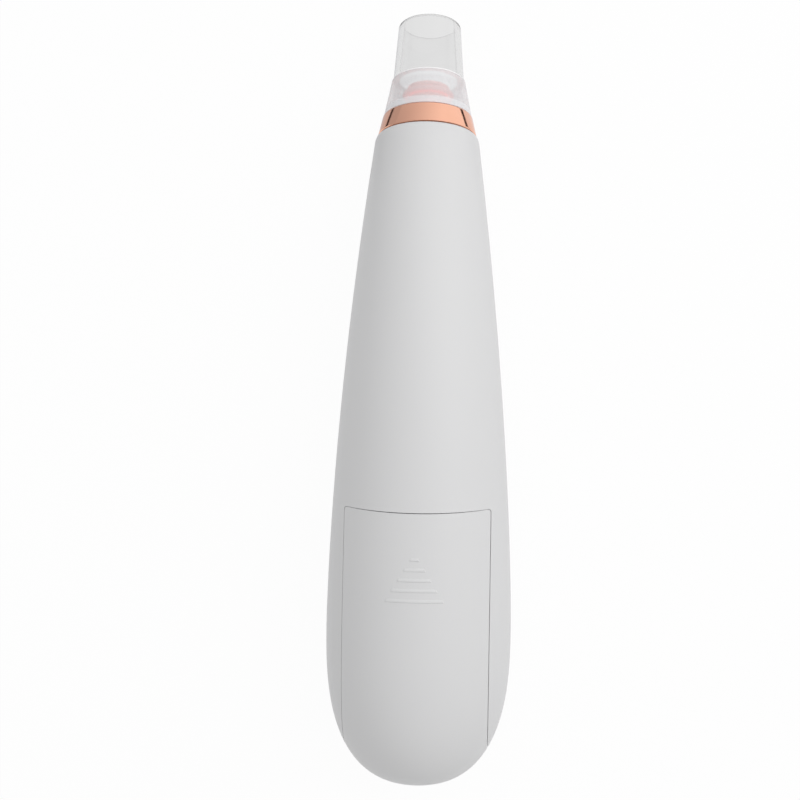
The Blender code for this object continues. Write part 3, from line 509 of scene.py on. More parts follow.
class Finishes:
    """Every finish of the tool, by what it is on."""

    SHELL = Finish(
        "satin white shell", (0.745, 0.745, 0.75), 0.42, mark=0.00035, depth=0.000006, tint=0.008
    )
    BUTTON = Finish(
        "smooth white button", (0.76, 0.76, 0.765), 0.30, mark=0.0003, depth=0.000003, tint=0.006
    )
    COPPER = BrushedRing(
        "brushed copper plating",
        (1.0, 0.53, 0.38),
        0.10,
        metallic=1.0,
        grain=Grain.ROUND,
        mark=0.00022,
        depth=0.000002,
        tint=0.07,
    )
    # The rose-gold port has a painted glow, which brightens it behind the frosted veil that keeps most
    # light from it.
    ROSE = Finish(
        "rose gold plating", (0.93, 0.53, 0.485), 0.27, metallic=0.5, mark=0.0005, painted_and_backdrop_glow=0.20
    )
    TUBE = ClearPlastic(
        "clear head plastic", (0.95, 0.95, 0.95), 0.015, mark=0.002, depth=0.000002
    )
    SKIRT = FrostedSkirt(
        "frosted head plastic", (0.882, 0.892, 0.915), 0.38, mark=0.00025, depth=0.00001, tint=0.01
    )
    # The seal has a painted glow, which lightens it where the skirt leaves it in shade.
    SEAL = Finish("rose silicone", (0.95, 0.56, 0.53), 0.5, mark=0.0006, depth=0.000005, painted_and_backdrop_glow=0.26)
    SILICONE = Finish("milky silicone", (0.80, 0.80, 0.78), 0.5, mark=0.0006, depth=0.000005)
    SPONGE = Finish(
        "white sponge", (0.84, 0.83, 0.80), 0.95, mark=0.0004, depth=0.00012, tint=0.10
    )
    LENS = Finish("milky lens", (0.90, 0.91, 0.93), 0.22, mark=0.0005, coat=0.4)
    BOARD = Lacquer(
        "green lacquered board", (0.03, 0.20, 0.085), 0.32, mark=0.0005, tint=0.08, coat=0.5
    )
    CELL = Sleeve(
        "dark cell sleeve", (0.055, 0.055, 0.062), 0.26, mark=0.0008, tint=0.05, coat=0.6
    )
    NICKEL = Finish(
        "nickel strip", (0.68, 0.66, 0.61), 0.28, metallic=1.0, grain=Grain.ALONG, mark=0.0003, tint=0.06
    )
    STEEL = Finish(
        "bright zinc plating", (0.66, 0.66, 0.65), 0.26, metallic=1.0, grain=Grain.ROUND, mark=0.0003
    )
    DARK = Finish(
        "black moulding", (0.028, 0.028, 0.030), 0.45, mark=0.0004, depth=0.000008, tint=0.12
    )
    RUBBER = Finish(
        "diaphragm rubber", (0.035, 0.035, 0.035), 0.68, mark=0.0005, depth=0.00001, tint=0.12
    )
    NYLON = Finish("pump nylon", (0.55, 0.56, 0.57), 0.48, mark=0.0006, depth=0.000012, tint=0.06)
    FERRITE = Finish(
        "dark ferrite", (0.10, 0.10, 0.11), 0.60, metallic=0.3, mark=0.0003, depth=0.00001, tint=0.15
    )
    WINDING = Finish(
        "lacquered winding", (0.62, 0.27, 0.12), 0.30, metallic=0.8, grain=Grain.ROUND, mark=0.0003
    )
    RED = Finish("red wire sleeve", (0.60, 0.025, 0.025), 0.42, mark=0.0006)
    BLACK = Finish("black wire sleeve", (0.020, 0.020, 0.022), 0.42, mark=0.0006)


# Mesh making


def loft(
    loops: Sequence[Sequence[Point]],
    capped: tuple[bool, bool] = (True, True),
    joined: bool = False,
) -> bmesh.types.BMesh:
    """Skin over loops of as many points each.

    Args:
        loops: the loops in order.
        capped: whether the first and the last loop are filled.
        joined: whether the last loop goes on to the first, as in a ring.

    Returns:
        The new bmesh.
    """
    bm = bmesh.new()
    rings = [[bm.verts.new(point) for point in loop] for loop in loops]
    pairs = list(zip(rings, rings[1:]))
    if joined:
        pairs.append((rings[-1], rings[0]))
    for lower, upper in pairs:
        for i, corner in enumerate(lower):
            j = (i + 1) % len(lower)
            bm.faces.new((corner, lower[j], upper[j], upper[i]))
    if capped[0] and not joined:
        bm.faces.new(rings[0])
    if capped[1] and not joined:
        bm.faces.new(list(reversed(rings[-1])))
    return bm


def open_ended(profile: Profile) -> bool:
    """Whether a profile starts and ends on the axis, so that it needs no closing."""
    return profile[0][0] < ON_AXIS and profile[-1][0] < ON_AXIS


def turned(profile: Profile, steps: int = 96) -> bmesh.types.BMesh:
    """Spin (radius, height) points round the z axis.

    Args:
        profile: the points; it is closed into a ring unless it starts and ends on the axis.
        steps: how many steps a full turn has.

    Returns:
        The new bmesh.
    """
    angles = [2 * pi * i / steps for i in range(steps)]
    loops = [[(r * cos(a), r * sin(a), h) for a in angles] for r, h in profile]
    return loft(loops, (False, False), joined=not open_ended(profile))


def rounded(profile: Profile, radius: float, pieces: int = 3, hold: float = 0.0) -> Profile:
    """Round each corner of a closed profile, or of one that ends on the axis.

    Args:
        profile: the corners in order.
        radius: how far from a corner the rounding starts, where the sides allow it.
        pieces: how many points a rounded corner gets, less one.
        hold: how far beyond a rounding an added point keeps a long side flat in its shading.

    Returns:
        The rounded profile.
    """
    ends = (0, len(profile) - 1) if open_ended(profile) else ()
    corners = [Vector(corner) for corner in profile]
    made: Profile = []
    for i, corner in enumerate(corners):
        if i in ends:
            made.append(tuple(corner))
            continue
        before = corners[i - 1] - corner
        after = corners[(i + 1) % len(corners)] - corner
        start = corner + before.normalized() * min(radius, before.length * CORNER_SHARE)
        end = corner + after.normalized() * min(radius, after.length * CORNER_SHARE)
        if 0 < hold < before.length / 2 - radius:
            made.append(tuple(start + before.normalized() * hold))
        for step in range(pieces + 1):
            s = step / pieces
            made.append(tuple(start * (1 - s) ** 2 + corner * (2 * s * (1 - s)) + end * s**2))
        if 0 < hold < after.length / 2 - radius:
            made.append(tuple(end + after.normalized() * hold))
    return made


def block(low: Point, high: Point) -> bmesh.types.BMesh:
    """A box between two opposite corners."""
    bm = bmesh.new()
    size = Vector(high) - Vector(low)
    middle = (Vector(high) + Vector(low)) / 2
    bmesh.ops.create_cube(bm, size=1.0, matrix=Matrix.Translation(middle) @ Matrix.Diagonal((*size, 1.0)))
    return bm


def rod(radius: float, low: float, high: float, steps: int = 32) -> bmesh.types.BMesh:
    """A plain rod along z."""
    return turned([(0.0, low), (radius, low), (radius, high), (0.0, high)], steps)


def solid(name: str, bm: bmesh.types.BMesh, place: Matrix) -> bpy.types.Object:
    """Turn a bmesh into an object.

    Args:
        name: the object's name.
        bm: the mesh, which is freed.
        place: the object's matrix in the row frame.

    Returns:
        The new object.
    """
    bmesh.ops.remove_doubles(bm, verts=bm.verts, dist=WELD)
    bmesh.ops.dissolve_degenerate(bm, edges=bm.edges, dist=SLIVER)
    bmesh.ops.recalc_face_normals(bm, faces=bm.faces)
    mesh = bpy.data.meshes.new(name)
    bm.to_mesh(mesh)
    bm.free()
    made = bpy.data.objects.new(name, mesh)
    bpy.context.scene.collection.objects.link(made)
    made.matrix_world = place
    return made


def carve(target: bpy.types.Object, *steps: tuple[Cut, bpy.types.Object]) -> bpy.types.Object:
    """Work on a solid with others, which are used up.

    Args:
        target: the solid that stays.
        steps: how each other solid works on it, in order.

    Returns:
        The same solid, with its new mesh.
    """
    for operation, tool in steps:
        modifier = target.modifiers.new(tool.name, "BOOLEAN")
        modifier.operation = operation.value
        modifier.solver = "EXACT"
        modifier.object = tool
    bpy.context.view_layer.update()
    graph = bpy.context.evaluated_depsgraph_get()
    mesh = bpy.data.meshes.new_from_object(target.evaluated_get(graph))
    target.modifiers.clear()
    target.data = mesh
    for _, tool in steps:
        bpy.data.objects.remove(tool)
    return target


def dress(
    piece: bpy.types.Object,
    finish: Finish,
    body: Body,
    replaced: str | None = None,
    crease: float = 34.0,
) -> bpy.types.Object:
    """Finish a piece and put it on its body.

    Args:
        piece: the piece, in its place.
        finish: what it is finished in.
        body: the body that it moves with.
        replaced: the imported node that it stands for.
        crease: the angle in degrees above which an edge stays sharp.

    Returns:
        The piece.
    """
    piece.data.materials.clear()
    piece.data.materials.append(finish.material())
    if piece.type == "MESH":
        piece.data.shade_smooth()
        piece.data.set_sharp_from_angle(angle=radians(crease))
    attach(piece, body.value)
    if replaced is not None:
        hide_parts(replaced)
    return piece


# The housing's form


@dataclass(frozen=True)
class Row:
    """One station along the housing: its place on the spine and how far each side stands out."""

    t: float
    side: float
    back: float
    front: float


@dataclass(frozen=True)
class Fineness:
    """How many steps a form is drawn with, round a half, over the dome and up the taper."""

    half: int
    dome: int
    rise: int


FINE = Fineness(56, 30, 60)
PLAIN = Fineness(14, 8, 12)


@dataclass(frozen=True)
class Drop:
    """The drop-shaped form of the housing, with sizes read on its outer surface."""

    belly_radius: float = 0.0226
    belly_height: float = 0.0380
    dome_power: float = 2.62
    neck_radius: float = 0.0129
    neck_length: float = 0.1590
    taper_power: float = 1.56
    bend_start: float = 0.0750
    bend: float = radians(9.0)
    front_depth: float = 0.0230
    flat_depth: float = 0.0215
    front_hold: float = 0.0850
    shoulder: float = 0.0012
    head_length: float = 0.03015
    head_radius: float = 0.0079
    rim_round: float = 0.00045

    def spine(self, t: float) -> tuple[float, float, float]:
        """The middle of the housing at arc length t: its y, z and forward lean."""
        radius = (self.neck_length - self.bend_start) / self.bend
        lean = min(max((t - self.bend_start) / radius, 0.0), self.bend)
        beyond = max(t - self.neck_length, 0.0)
        y = radius * (1 - cos(lean)) + beyond * sin(self.bend)
        z = min(t, self.bend_start) + radius * sin(lean) + beyond * cos(self.bend)
        return y, z, lean

    def half_width(self, t: float) -> float:
        """Half the housing's width above its belly."""
        rise = (min(t, self.neck_length) - self.belly_height) / (self.neck_length - self.belly_height)
        loss = (self.belly_radius - self.neck_radius) * max(rise, 0.0) ** self.taper_power
        return self.belly_radius - loss

    def front_reach(self, t: float) -> float:
        """How far the uncut front stands from the spine."""
        y, _, lean = self.spine(t)
        fall = min(max((t - self.front_hold) / (self.neck_length - self.front_hold), 0.0), 1.0)
        ease = fall * fall * (3 - 2 * fall)
        top = self.spine(self.neck_length)[0] + self.neck_radius
        return (self.front_depth - (self.front_depth - top) * ease - y) / cos(lean)

    def rows(self, inset: float, fineness: Fineness) -> list[Row]:
        """The stations from the bottom's pole to the neck, drawn in by an inset."""
        rows = []
        flat_loss = self.front_depth - self.flat_depth if inset > 0 else 0.0
        for step in range(fineness.dome + 1):
            a = pi / 2 * step / fineness.dome
            side = (self.belly_radius - inset) * sin(a) ** (2 / self.dome_power)
            t = self.belly_height - (self.belly_height - inset) * max(cos(a), 0.0) ** (2 / self.dome_power)
            front = side * (self.front_depth - flat_loss - inset) / (self.belly_radius - inset)
            rows.append(Row(t, side, side, front))
        top = self.neck_length - self.shoulder
        for step in range(1, fineness.rise + 1):
            share = step / fineness.rise
            t = self.belly_height + (top - self.belly_height) * share
            side = self.half_width(t) - inset
            rows.append(Row(t, side, side, self.front_reach(t) - inset - flat_loss * (1 - share)))
        return rows

    def loop(self, row: Row, fineness: Fineness) -> list[Point]:
        """Points all the way round a station."""
        y, z, lean = self.spine(row.t)
        points = []
        for i in range(2 * fineness.half):
            a = pi * i / fineness.half
            out = sin(a) * (row.front if sin(a) > 0 else row.back)
            points.append((row.side * cos(a), y + out * cos(lean), z - out * sin(lean)))
        return points

    def arc(self, row: Row, half: Half, parting: float, fineness: Fineness) -> list[Point]:
        """Points round one half of a station, from parting line to parting line."""
        y, z, lean = self.spine(row.t)
        depth = row.front if half is Half.FRONT else row.back
        points = []
        for i in range(fineness.half + 1):
            a = pi * i / fineness.half
            out = half.value * (parting + max(depth - parting, 0.0) * sin(a))
            points.append((row.side * cos(a), y + out * cos(lean), z - out * sin(lean)))
        return points

    @property
    def length(self) -> float:
        """The tool's length with its head on."""
        _, neck_z, _ = self.spine(self.neck_length)
        rim = self.head_radius - self.rim_round
        return neck_z + self.head_length * cos(self.bend) + rim * sin(self.bend)

    @property
    def laid(self) -> Matrix:
        """The matrix that lays the tool on its flat front."""
        place = Matrix.Translation((0.0, -self.length / 2, self.flat_depth))
        return place @ Matrix.Rotation(AROUND_X, 4, "X")

    @property
    def neck(self) -> Matrix:
        """The matrix of the neck's axis, from the shell's end."""
        y, z, _ = self.spine(self.neck_length)
        return self.laid @ Matrix.Translation((0.0, y, z)) @ Matrix.Rotation(-self.bend, 4, "X")

    def drive(self, y: float, z: float, tilt: float) -> Matrix:
        """The matrix of the motor's axis."""
        return self.laid @ Matrix.Translation((0.0, y, z)) @ Matrix.Rotation(-tilt, 4, "X")

    def across(self, x: float, z: float) -> Matrix:
        """A matrix whose z axis points out of the flat front, at a place on it."""
        return self.laid @ Matrix.Translation((x, 0.0, z)) @ Matrix.Rotation(AROUND_X, 4, "X")


@dataclass
class Housing:
    """The two halves of the housing, with the bay, ribs and bosses moulded in them."""

    form: Drop = field(default_factory=Drop)
    wall: float = 0.0020
    parting: float = 0.00015
    lining_parting: float = 0.00002
    lip_radius: float = 0.0102
    lip_bore: float = 0.0090
    lip_height: float = 0.0030
    lip_run: float = 0.0035
    neck_round: tuple[tuple[float, float], ...] = (
        (0.0007, 0.00004),
        (0.0005, 0.0001),
        (0.0002, 0.00025),
        (0.00005, 0.00042),
        (0.0, 0.00055),
    )
    door_half: float = 0.0173
    door_top: float = 0.06735
    door_smile: float = 0.0006
    door_corner: float = 0.0007
    door_play: float = 0.00004
    door_sag: float = 0.0001
    door_shift: float = -0.00003
    door_wall: float = 0.0016
    ledge_wall: float = 0.0012
    ledge_width: float = 0.0018
    ledge_seat: float = 0.00005
    pocket_front: float = 0.001
    bay_low: float = 0.0114
    bay_high: float = 0.0664
    bay_half: float = 0.0150
    bay_floor: float = 0.0035
    bay_wall: float = 0.0012
    bay_rise: float = 0.0125
    bay_inset: float = 0.0004
    cell_x: float = 0.00745
    slot_half: float = 0.0015
    slot_depths: tuple[float, float] = (-0.0011, 0.0003)
    cut_before: float = 0.001
    cut_after: float = 0.003
    screw_heights: tuple[float, float] = (0.0205, 0.0380)
    screw_radius: float = 0.0012
    screw_play: float = 0.0001
    pilot: tuple[float, float] = (0.0010, 0.0130)
    boss_radius: float = 0.0031
    saddles: tuple[tuple[float, float], ...] = ((0.0960, 0.0120), (0.1210, 0.0130))
    saddle_half: float = 0.0008
    saddle_play: float = 0.00005
    saddle_reach: float = 0.065
    drive_place: tuple[float, float] = (-0.0024, 0.0740)
    drive_tilt: float = radians(4.5)
    button_height: float = 0.0700
    button_hole: float = 0.0073
    lens_height: float = 0.0840
    lens_radius: float = 0.0015
    hole_depth: float = 0.004
    board_back: float = 0.0134
    board_wall: float = 0.0016
    stakes: tuple[tuple[float, float], ...] = ((-0.0070, 0.0500), (0.0070, 0.0790))
    stake_radius: float = 0.0009
    stake_foot: float = 0.0019
    stake_stub: float = 0.0006
    side_reach: float = 0.025
    reach: float = 0.030
    far: float = 0.040
    below: float = -0.010
    above: float = 0.150

    def drop(self, name: str, inset: float, fineness: Fineness = PLAIN) -> bpy.types.Object:
        """The whole form as one solid, drawn in by an inset."""
        loops = [self.form.loop(row, fineness) for row in self.form.rows(inset, fineness)]
        return solid(name, loft(loops, (False, True)), self.form.laid)

    def at(self, name: str, bm: bmesh.types.BMesh) -> bpy.types.Object:
        """A solid in the tool's own frame."""
        return solid(name, bm, self.form.laid)

    def drilled(self, name: str, radius: float, span: tuple[float, float], z: float) -> bpy.types.Object:
        """A rod square to the flat front, on the tool's middle line."""
        return solid(name, rod(radius, *span), self.form.across(0.0, z))

    def shell_half(self, half: Half) -> bpy.types.Object:
        """One half, a wall from parting line to parting line, with the lip inside the ring."""
        form = self.form
        neck = form.neck_length
        outer = form.rows(0.0, FINE)
        inner = []
        for row in form.rows(self.wall, FINE):
            room = self.lip_bore + max(neck - self.lip_run - row.t, 0.0)
            inner.append(Row(row.t, min(row.side, room), min(row.back, room), min(row.front, room)))
        edge = form.half_width(neck)
        ends = [(neck - drop, edge - less) for drop, less in self.neck_round]
        ends += [(neck, self.lip_radius), (neck + self.lip_height, self.lip_radius)]
        for t, radius in ends:
            outer.append(Row(t, radius, radius, radius))
            inner.append(Row(t, self.lip_bore, self.lip_bore, self.lip_bore))
        loops = []
        for skin, lining in zip(outer, inner):
            outside = form.arc(skin, half, self.parting, FINE)
            inside = form.arc(lining, half, self.lining_parting, FINE)
            loops.append(outside + inside[::-1])
        return self.at(f"{half.name.lower()}_shell_fine", loft(loops, (False, True)))

    def door_outline(self, margin: float, sag: float = 0.0) -> Profile:
        """The door's outline seen from the back, round at its top corners.

        Args:
            margin: how much the outline is grown.
            sag: how much further the top edge's middle dips, which opens the gap there.

        Returns:
            Points as x and z.
        """
        half = self.door_half + margin
        corner = self.door_corner + max(margin, 0.0)
        inner = half - corner
        top = self.door_top + self.door_smile + margin
        turn_steps = 10
        edge_steps = 40
        turn = [pi / 2 * i / turn_steps for i in range(turn_steps + 1)]
        points = [(-half, self.below), (half, self.below)]
        points += [(inner + corner * cos(a), top - corner + corner * sin(a)) for a in turn]
        for i in range(1, edge_steps):
            x = inner - 2 * inner * i / edge_steps
            points.append((x, top - (self.door_smile + sag) * (1 - (x / inner) ** 2)))
        points += [(-inner - corner * sin(a), top - corner + corner * cos(a)) for a in turn]
        shift = self.door_shift if sag else 0.0
        return [(x + shift, z) for x, z in points]

    def door_prism(self, name: str, margin: float, front: float, sag: float = 0.0) -> bpy.types.Object:
        """The door's outline pushed through the back of the housing."""
        outline = self.door_outline(margin, sag)
        return self.at(name, loft([[(x, y, z) for x, z in outline] for y in (-self.far, front)]))

    def ribs(self, half: Half) -> list[tuple[Cut, bpy.types.Object]]:
        """Ribs that cradle the motor and the pump in one half."""
        made = []
        for height, radius in self.saddles:
            middle = self.form.spine(height)[0] + 2 * GAP * half.value
            near, far = sorted((middle, half.value * self.reach))
            low = (-self.side_reach, near, height - self.saddle_half)
            high = (self.side_reach, far, height + self.saddle_half)
            rib = self.at("rib", block(low, high))
            seat = rod(radius + GAP + self.saddle_play, 0.0, self.saddle_reach, 64)
            seat = solid("rib_seat", seat, self.form.drive(*self.drive_place, self.drive_tilt))
            carve(rib, (Cut.KEEP, self.drop("rib_limit", self.wall / 2)), (Cut.TAKE, seat))
            made.append((Cut.JOIN, rib))
        return made

    def front_shell(self) -> bpy.types.Object:
        """The front half: flat control face, button and lens holes, bosses, stakes and ribs."""
        flat = self.form.flat_depth
        inside = flat - self.wall / 2
        floor = self.bay_floor + self.bay_wall + GAP
        seat = self.board_back + self.board_wall + GAP
        tip = self.board_back - self.stake_stub
        stake = [(0.0, tip), (self.stake_radius, tip), (self.stake_radius, seat)]
        stake += [(self.stake_foot, seat), (self.stake_foot, inside), (0.0, inside)]
        steps = self.ribs(Half.FRONT)
        for z in self.screw_heights:
            steps.append((Cut.JOIN, self.drilled("boss", self.boss_radius, (floor, inside), z)))
        for place in self.stakes:
            steps.append((Cut.JOIN, solid("stake", turned(stake, 24), self.form.across(*place))))
        beyond_flat = block((-self.reach, flat, self.below), (self.reach, self.far, self.above))
        steps.append((Cut.TAKE, self.at("flat", beyond_flat)))
        through = (flat - self.hole_depth, self.reach)
        holes = (
            ("button_hole", self.button_hole, self.button_height),
            ("lens_hole", self.lens_radius + GAP, self.lens_height),
        )
        for name, radius, z in holes:
            steps.append((Cut.TAKE, self.drilled(name, radius, through, z)))
        for z in self.screw_heights:
            steps.append((Cut.TAKE, self.drilled("pilot", self.screw_radius + GAP, self.pilot, z)))
        return carve(self.shell_half(Half.FRONT), *steps)

    def rear_shell(self) -> bpy.types.Object:
        """The back half: the battery opening with its ledge, and the bay moulded in it."""
        ledge_top = self.door_wall + GAP
        ledge = carve(
            self.door_prism("ledge", self.ledge_width, -self.parting),
            (Cut.KEEP, self.drop("ledge_outer", ledge_top - self.ledge_seat, FINE)),
            (Cut.TAKE, self.drop("ledge_inner", ledge_top + self.ledge_wall)),
        )
        side = self.bay_half + self.bay_wall
        low = (-side, -self.bay_rise, self.bay_low - self.bay_wall)
        high = (side, self.bay_floor + self.bay_wall, self.bay_high + self.bay_wall)
        bay = self.at("bay", block(low, high))
        carve(bay, (Cut.KEEP, self.drop("bay_limit", self.wall + self.bay_inset)))
        pocket = carve(
            self.door_prism("pocket", self.door_play, self.pocket_front),
            (Cut.TAKE, self.drop("pocket_floor", ledge_top, FINE)),
        )
        high = (self.bay_half, self.bay_floor, self.bay_high)
        room = self.at("room", block((-self.bay_half, -self.far, self.bay_low), high))
        steps = [*self.ribs(Half.REAR), (Cut.JOIN, ledge), (Cut.JOIN, bay), (Cut.TAKE, pocket)]
        steps.append((Cut.TAKE, room))
        screw_hole = self.screw_radius + GAP + self.screw_play
        floor = (self.bay_floor - self.cut_before, self.bay_floor + self.cut_after)
        for z in self.screw_heights:
            steps.append((Cut.TAKE, self.drilled("hole", screw_hole, floor, z)))
        near, far = self.slot_depths
        for x in (-self.cell_x, self.cell_x):
            low = (x - self.slot_half, near, self.bay_high - self.cut_before)
            high = (x + self.slot_half, far, self.bay_high + self.cut_after)
            steps.append((Cut.TAKE, self.at("slot", block(low, high))))
        return carve(self.shell_half(Half.REAR), *steps)

    def build(self) -> list[bpy.types.Object]:
        """Make both halves."""
        return [
            dress(self.rear_shell(), Finishes.SHELL, Body.HOUSING, "rear_shell"),
            dress(self.front_shell(), Finishes.SHELL, Body.HOUSING, "front_shell"),
        ]


@dataclass(frozen=True)
class Rib:
    """A rib under the door: half its width, its place across, its span and how deep it ends."""

    half: float
    x: float
    low: float
    high: float
    depth: float


@dataclass
class BatteryDoor:
    """The sliding door, with its grip bars, latch tab and guide ribs."""

    housing: Housing
    grip_top: float = 0.0568
    pitch: float = 0.00236
    first: float = 0.0018
    step: float = 0.0028
    bars: int = 5
    proud: float = 0.00020
    height: float = 0.0010
    seated: float = 0.00004
    root: float = 0.0006
    end_slant: float = 0.00018
    first_steps: int = 12
    more_steps: int = 10
    crease: float = 20.0
    ridge: tuple[tuple[float, float], ...] = (
        (0.5, 0.0),
        (0.36, 0.3),
        (0.22, 0.65),
        (0.06, 0.93),
        (-0.1, 1.0),
        (-0.25, 0.9),
        (-0.36, 0.6),
        (-0.44, 0.0),
    )
    ribs: tuple[Rib, ...] = (
        Rib(0.0030, 0.0, 0.0625, 0.0648, 0.0176),
        Rib(0.0006, -0.0142, 0.0160, 0.0600, 0.0125),
        Rib(0.0006, 0.0142, 0.0160, 0.0600, 0.0125),
    )

    def bar(self, number: int) -> bpy.types.Object:
        """One grip bar: a low ridge, steeper below than above, with slanted ends."""
        half = (self.first + self.step * number) / 2
        middle = self.grip_top - self.pitch * number
        slope = self.step / self.pitch / 2
        count = self.first_steps + self.more_steps * number
        loops = []
        for i in range(-1, count + 2):
            share = min(max(i / count, 0.0), 1.0) * 2 - 1
            past_end = i in (-1, count + 1)
            slant = self.end_slant * share if past_end else 0.0
            loop = []
            for up, out in self.ridge:
                z = middle + up * self.height
                x = share * (half - up * self.height * slope) + slant
                skin = (self.housing.form.half_width(z) ** 2 - x**2) ** 0.5
                proud = 0.0 if past_end else self.proud * out
                loop.append((x, -skin - proud + self.seated, z))
            loops.append(loop + [(x, y + self.root, z) for x, y, z in (loop[-1], loop[0])])
        return self.housing.at("grip", loft(loops))

    def build(self) -> list[bpy.types.Object]:
        """Make the door."""
        housing = self.housing
        steps = [
            (Cut.KEEP, housing.drop("door_outer", 0.0, FINE)),
            (Cut.TAKE, housing.drop("door_inner", housing.door_wall, FINE)),
        ]
        for rib in self.ribs:
            low = (rib.x - rib.half, -housing.reach, rib.low)
            high = (rib.x + rib.half, -rib.depth, rib.high)
            web = housing.at("rib", block(low, high))
            carve(web, (Cut.KEEP, housing.drop("rib_limit", housing.door_wall / 2)))
            steps.append((Cut.JOIN, web))
        steps += [(Cut.JOIN, self.bar(number)) for number in range(self.bars)]
        play = housing.door_play
        door = housing.door_prism("battery_door_fine", -play, -housing.parting, housing.door_sag)
        carve(door, *steps)
        return [dress(door, Finishes.SHELL, Body.DOOR, "battery_door", crease=self.crease)]


@dataclass
class Neck:
    """Ring, suction port with its seal and sponge, and the suction head, all round the neck's axis."""

    housing: Housing
    ring_low_radius: float = 0.0124
    ring_top_radius: float = 0.0113
    ring_bore: float = 0.0105
    ring_low: float = 0.0003
    ring_top: float = 0.00545
    ring_edge: float = 0.0002
    ring_crown: float = 0.00003
    port_radius: float = 0.0054
    port_top: float = 0.0137
    port_bore: float = 0.0043
    port_edge: float = 0.0003
    flange_play: float = 0.0001
    flange_rise: float = 0.0017
    plug_low: float = -0.0015
    throat_radius: float = 0.0026
    throat_low: float = -0.0030
    barb_radius: float = 0.0020
    barb_wall: float = 0.0008
    barb_top: float = -0.0034
    barb_end: float = -0.0130
    duct_top: float = 0.0055
    well_radius: float = 0.0030
    well_low: float = 0.0065
    well_top: float = 0.0104
    seal_height: float = 0.0115
    seal_radius: float = 0.0006
    groove_depth: float = 0.0004
    groove_half: float = 0.0008
    groove_slope: float = 0.0001
    sponge_edge: float = 0.0130
    sponge_shoulder: float = 0.01325
    sponge_flat: float = 0.8
    sponge_top: float = 0.0133
    head_low: float = 0.00555
    head_low_radius: float = 0.0111
    head_step: float = 0.0150
    head_step_radius: float = 0.0093
    head_joint: float = 0.0152
    head_stop: float = 0.0143
    head_wall: float = 0.00135
    split: float = 0.00001
    step_wall: float = 0.0009
    web: float = 0.0012
    web_edge: float = 0.0006
    web_slope: float = 0.0005
    socket_low: float = 0.0082
    socket_wall: float = 0.0011
    socket_play: float = 0.00055
    port_play: float = 0.0002
    tube_radius: float = 0.00882
    tube_flare: float = 0.0001
    tube_foot: float = 0.0032
    tube_rim: float = 0.0006
    tube_edge: float = 0.0002
    bore: float = 0.00717
    bore_flare: float = 0.0002
    bore_rim: float = 0.0005
    soft: float = 0.00012
    ring_soft: float = 0.00015
    sponge_soft: float = 0.0003
    hold: float = 0.0001
    fine_steps: int = 160
    port_steps: int = 96
    sponge_steps: int = 64
    seal_steps: int = 20

    def turn(self, name: str, profile: Profile, steps: int) -> bpy.types.Object:
        """A turned piece on the neck's axis."""
        return solid(name, turned(profile, steps), self.housing.form.neck)

    def ring(self) -> bpy.types.Object:
        """The plated ring: a cone with softened edges."""
        profile = [
            (self.ring_low_radius - self.ring_edge, self.ring_low),
            (self.ring_low_radius, self.ring_low + self.ring_edge),
            (self.ring_top_radius + self.ring_crown, self.ring_top - self.ring_edge),
            (self.ring_top_radius - self.ring_edge, self.ring_top),
            (self.ring_bore, self.ring_top),
            (self.ring_bore, self.ring_low),
        ]
        return self.turn("neck_ring_fine", rounded(profile, self.ring_soft), self.fine_steps)

    def port(self) -> bpy.types.Object:
        """The rose-gold spigot that the head pushes onto, with its seal's groove."""
        lip = self.housing.lip_height
        plug = self.housing.lip_bore - GAP
        flange = self.housing.lip_radius - self.flange_play
        groove = self.port_radius - self.groove_depth
        groove_edge = self.groove_half + self.groove_slope
        duct = self.barb_radius - self.barb_wall
        profile = [
            (self.port_bore, self.port_top),
            (self.port_radius - self.port_edge, self.port_top),
            (self.port_radius, self.port_top - self.port_edge),
            (self.port_radius, self.seal_height + groove_edge),
            (groove, self.seal_height + self.groove_half),
            (groove, self.seal_height - self.groove_half),
            (self.port_radius, self.seal_height - groove_edge),
            (self.port_radius, lip + self.flange_rise),
            (flange, lip + self.flange_rise),
            (flange, lip + GAP),
            (plug, lip + GAP),
            (plug, self.plug_low),
            (self.throat_radius, self.throat_low),
            (self.barb_radius, self.barb_top),
            (self.barb_radius, self.barb_end),
            (duct, self.barb_end),
            (duct, self.duct_top),
            (self.well_radius, self.well_low),
            (self.well_radius, self.well_top),
            (self.port_bore, self.well_top),
        ]
        return self.turn("suction_port_fine", rounded(profile, self.soft, pieces=2), self.port_steps)

    def seal(self) -> bpy.types.Object:
        """The soft ring in the port's groove."""
        middle = self.port_radius - self.groove_depth + self.seal_radius + GAP
        around = [2 * pi * i / self.seal_steps for i in range(self.seal_steps)]
        radius = self.seal_radius
        profile = [(middle + radius * cos(a), self.seal_height + radius * sin(a)) for a in around]
        return self.turn("head_seal_fine", profile, self.port_steps)

    def sponge(self) -> bpy.types.Object:
        """The sponge disc in the port's mouth, a little crowned."""
        edge = self.port_bore - GAP
        profile = [
            (0.0, self.well_top + GAP),
            (edge, self.well_top + GAP),
            (edge, self.sponge_edge),
            (edge * self.sponge_flat, self.sponge_shoulder),
            (0.0, self.sponge_top),
        ]
        return self.turn("filter_sponge_fine", rounded(profile, self.sponge_soft), self.sponge_steps)

    def tube(self) -> bpy.types.Object:
        """The head's clear tube, from the skirt's top to the mouth."""
        form = self.housing.form
        top = form.head_length
        foot = self.head_joint + self.split
        profile = [
            (self.tube_radius + self.tube_flare, foot),
            (self.tube_radius - self.tube_flare, self.head_step + self.tube_foot),
            (form.head_radius, top - self.tube_rim),
            (form.head_radius - self.tube_edge, top - self.tube_edge),
            (form.head_radius - form.rim_round, top),
            (form.head_radius - self.head_wall + form.rim_round, top),
            (form.head_radius - self.head_wall, top - self.bore_rim),
            (self.bore + self.bore_flare, foot),
        ]
        return self.turn("suction_tube_fine", rounded(profile, self.soft, hold=self.hold), self.fine_steps)

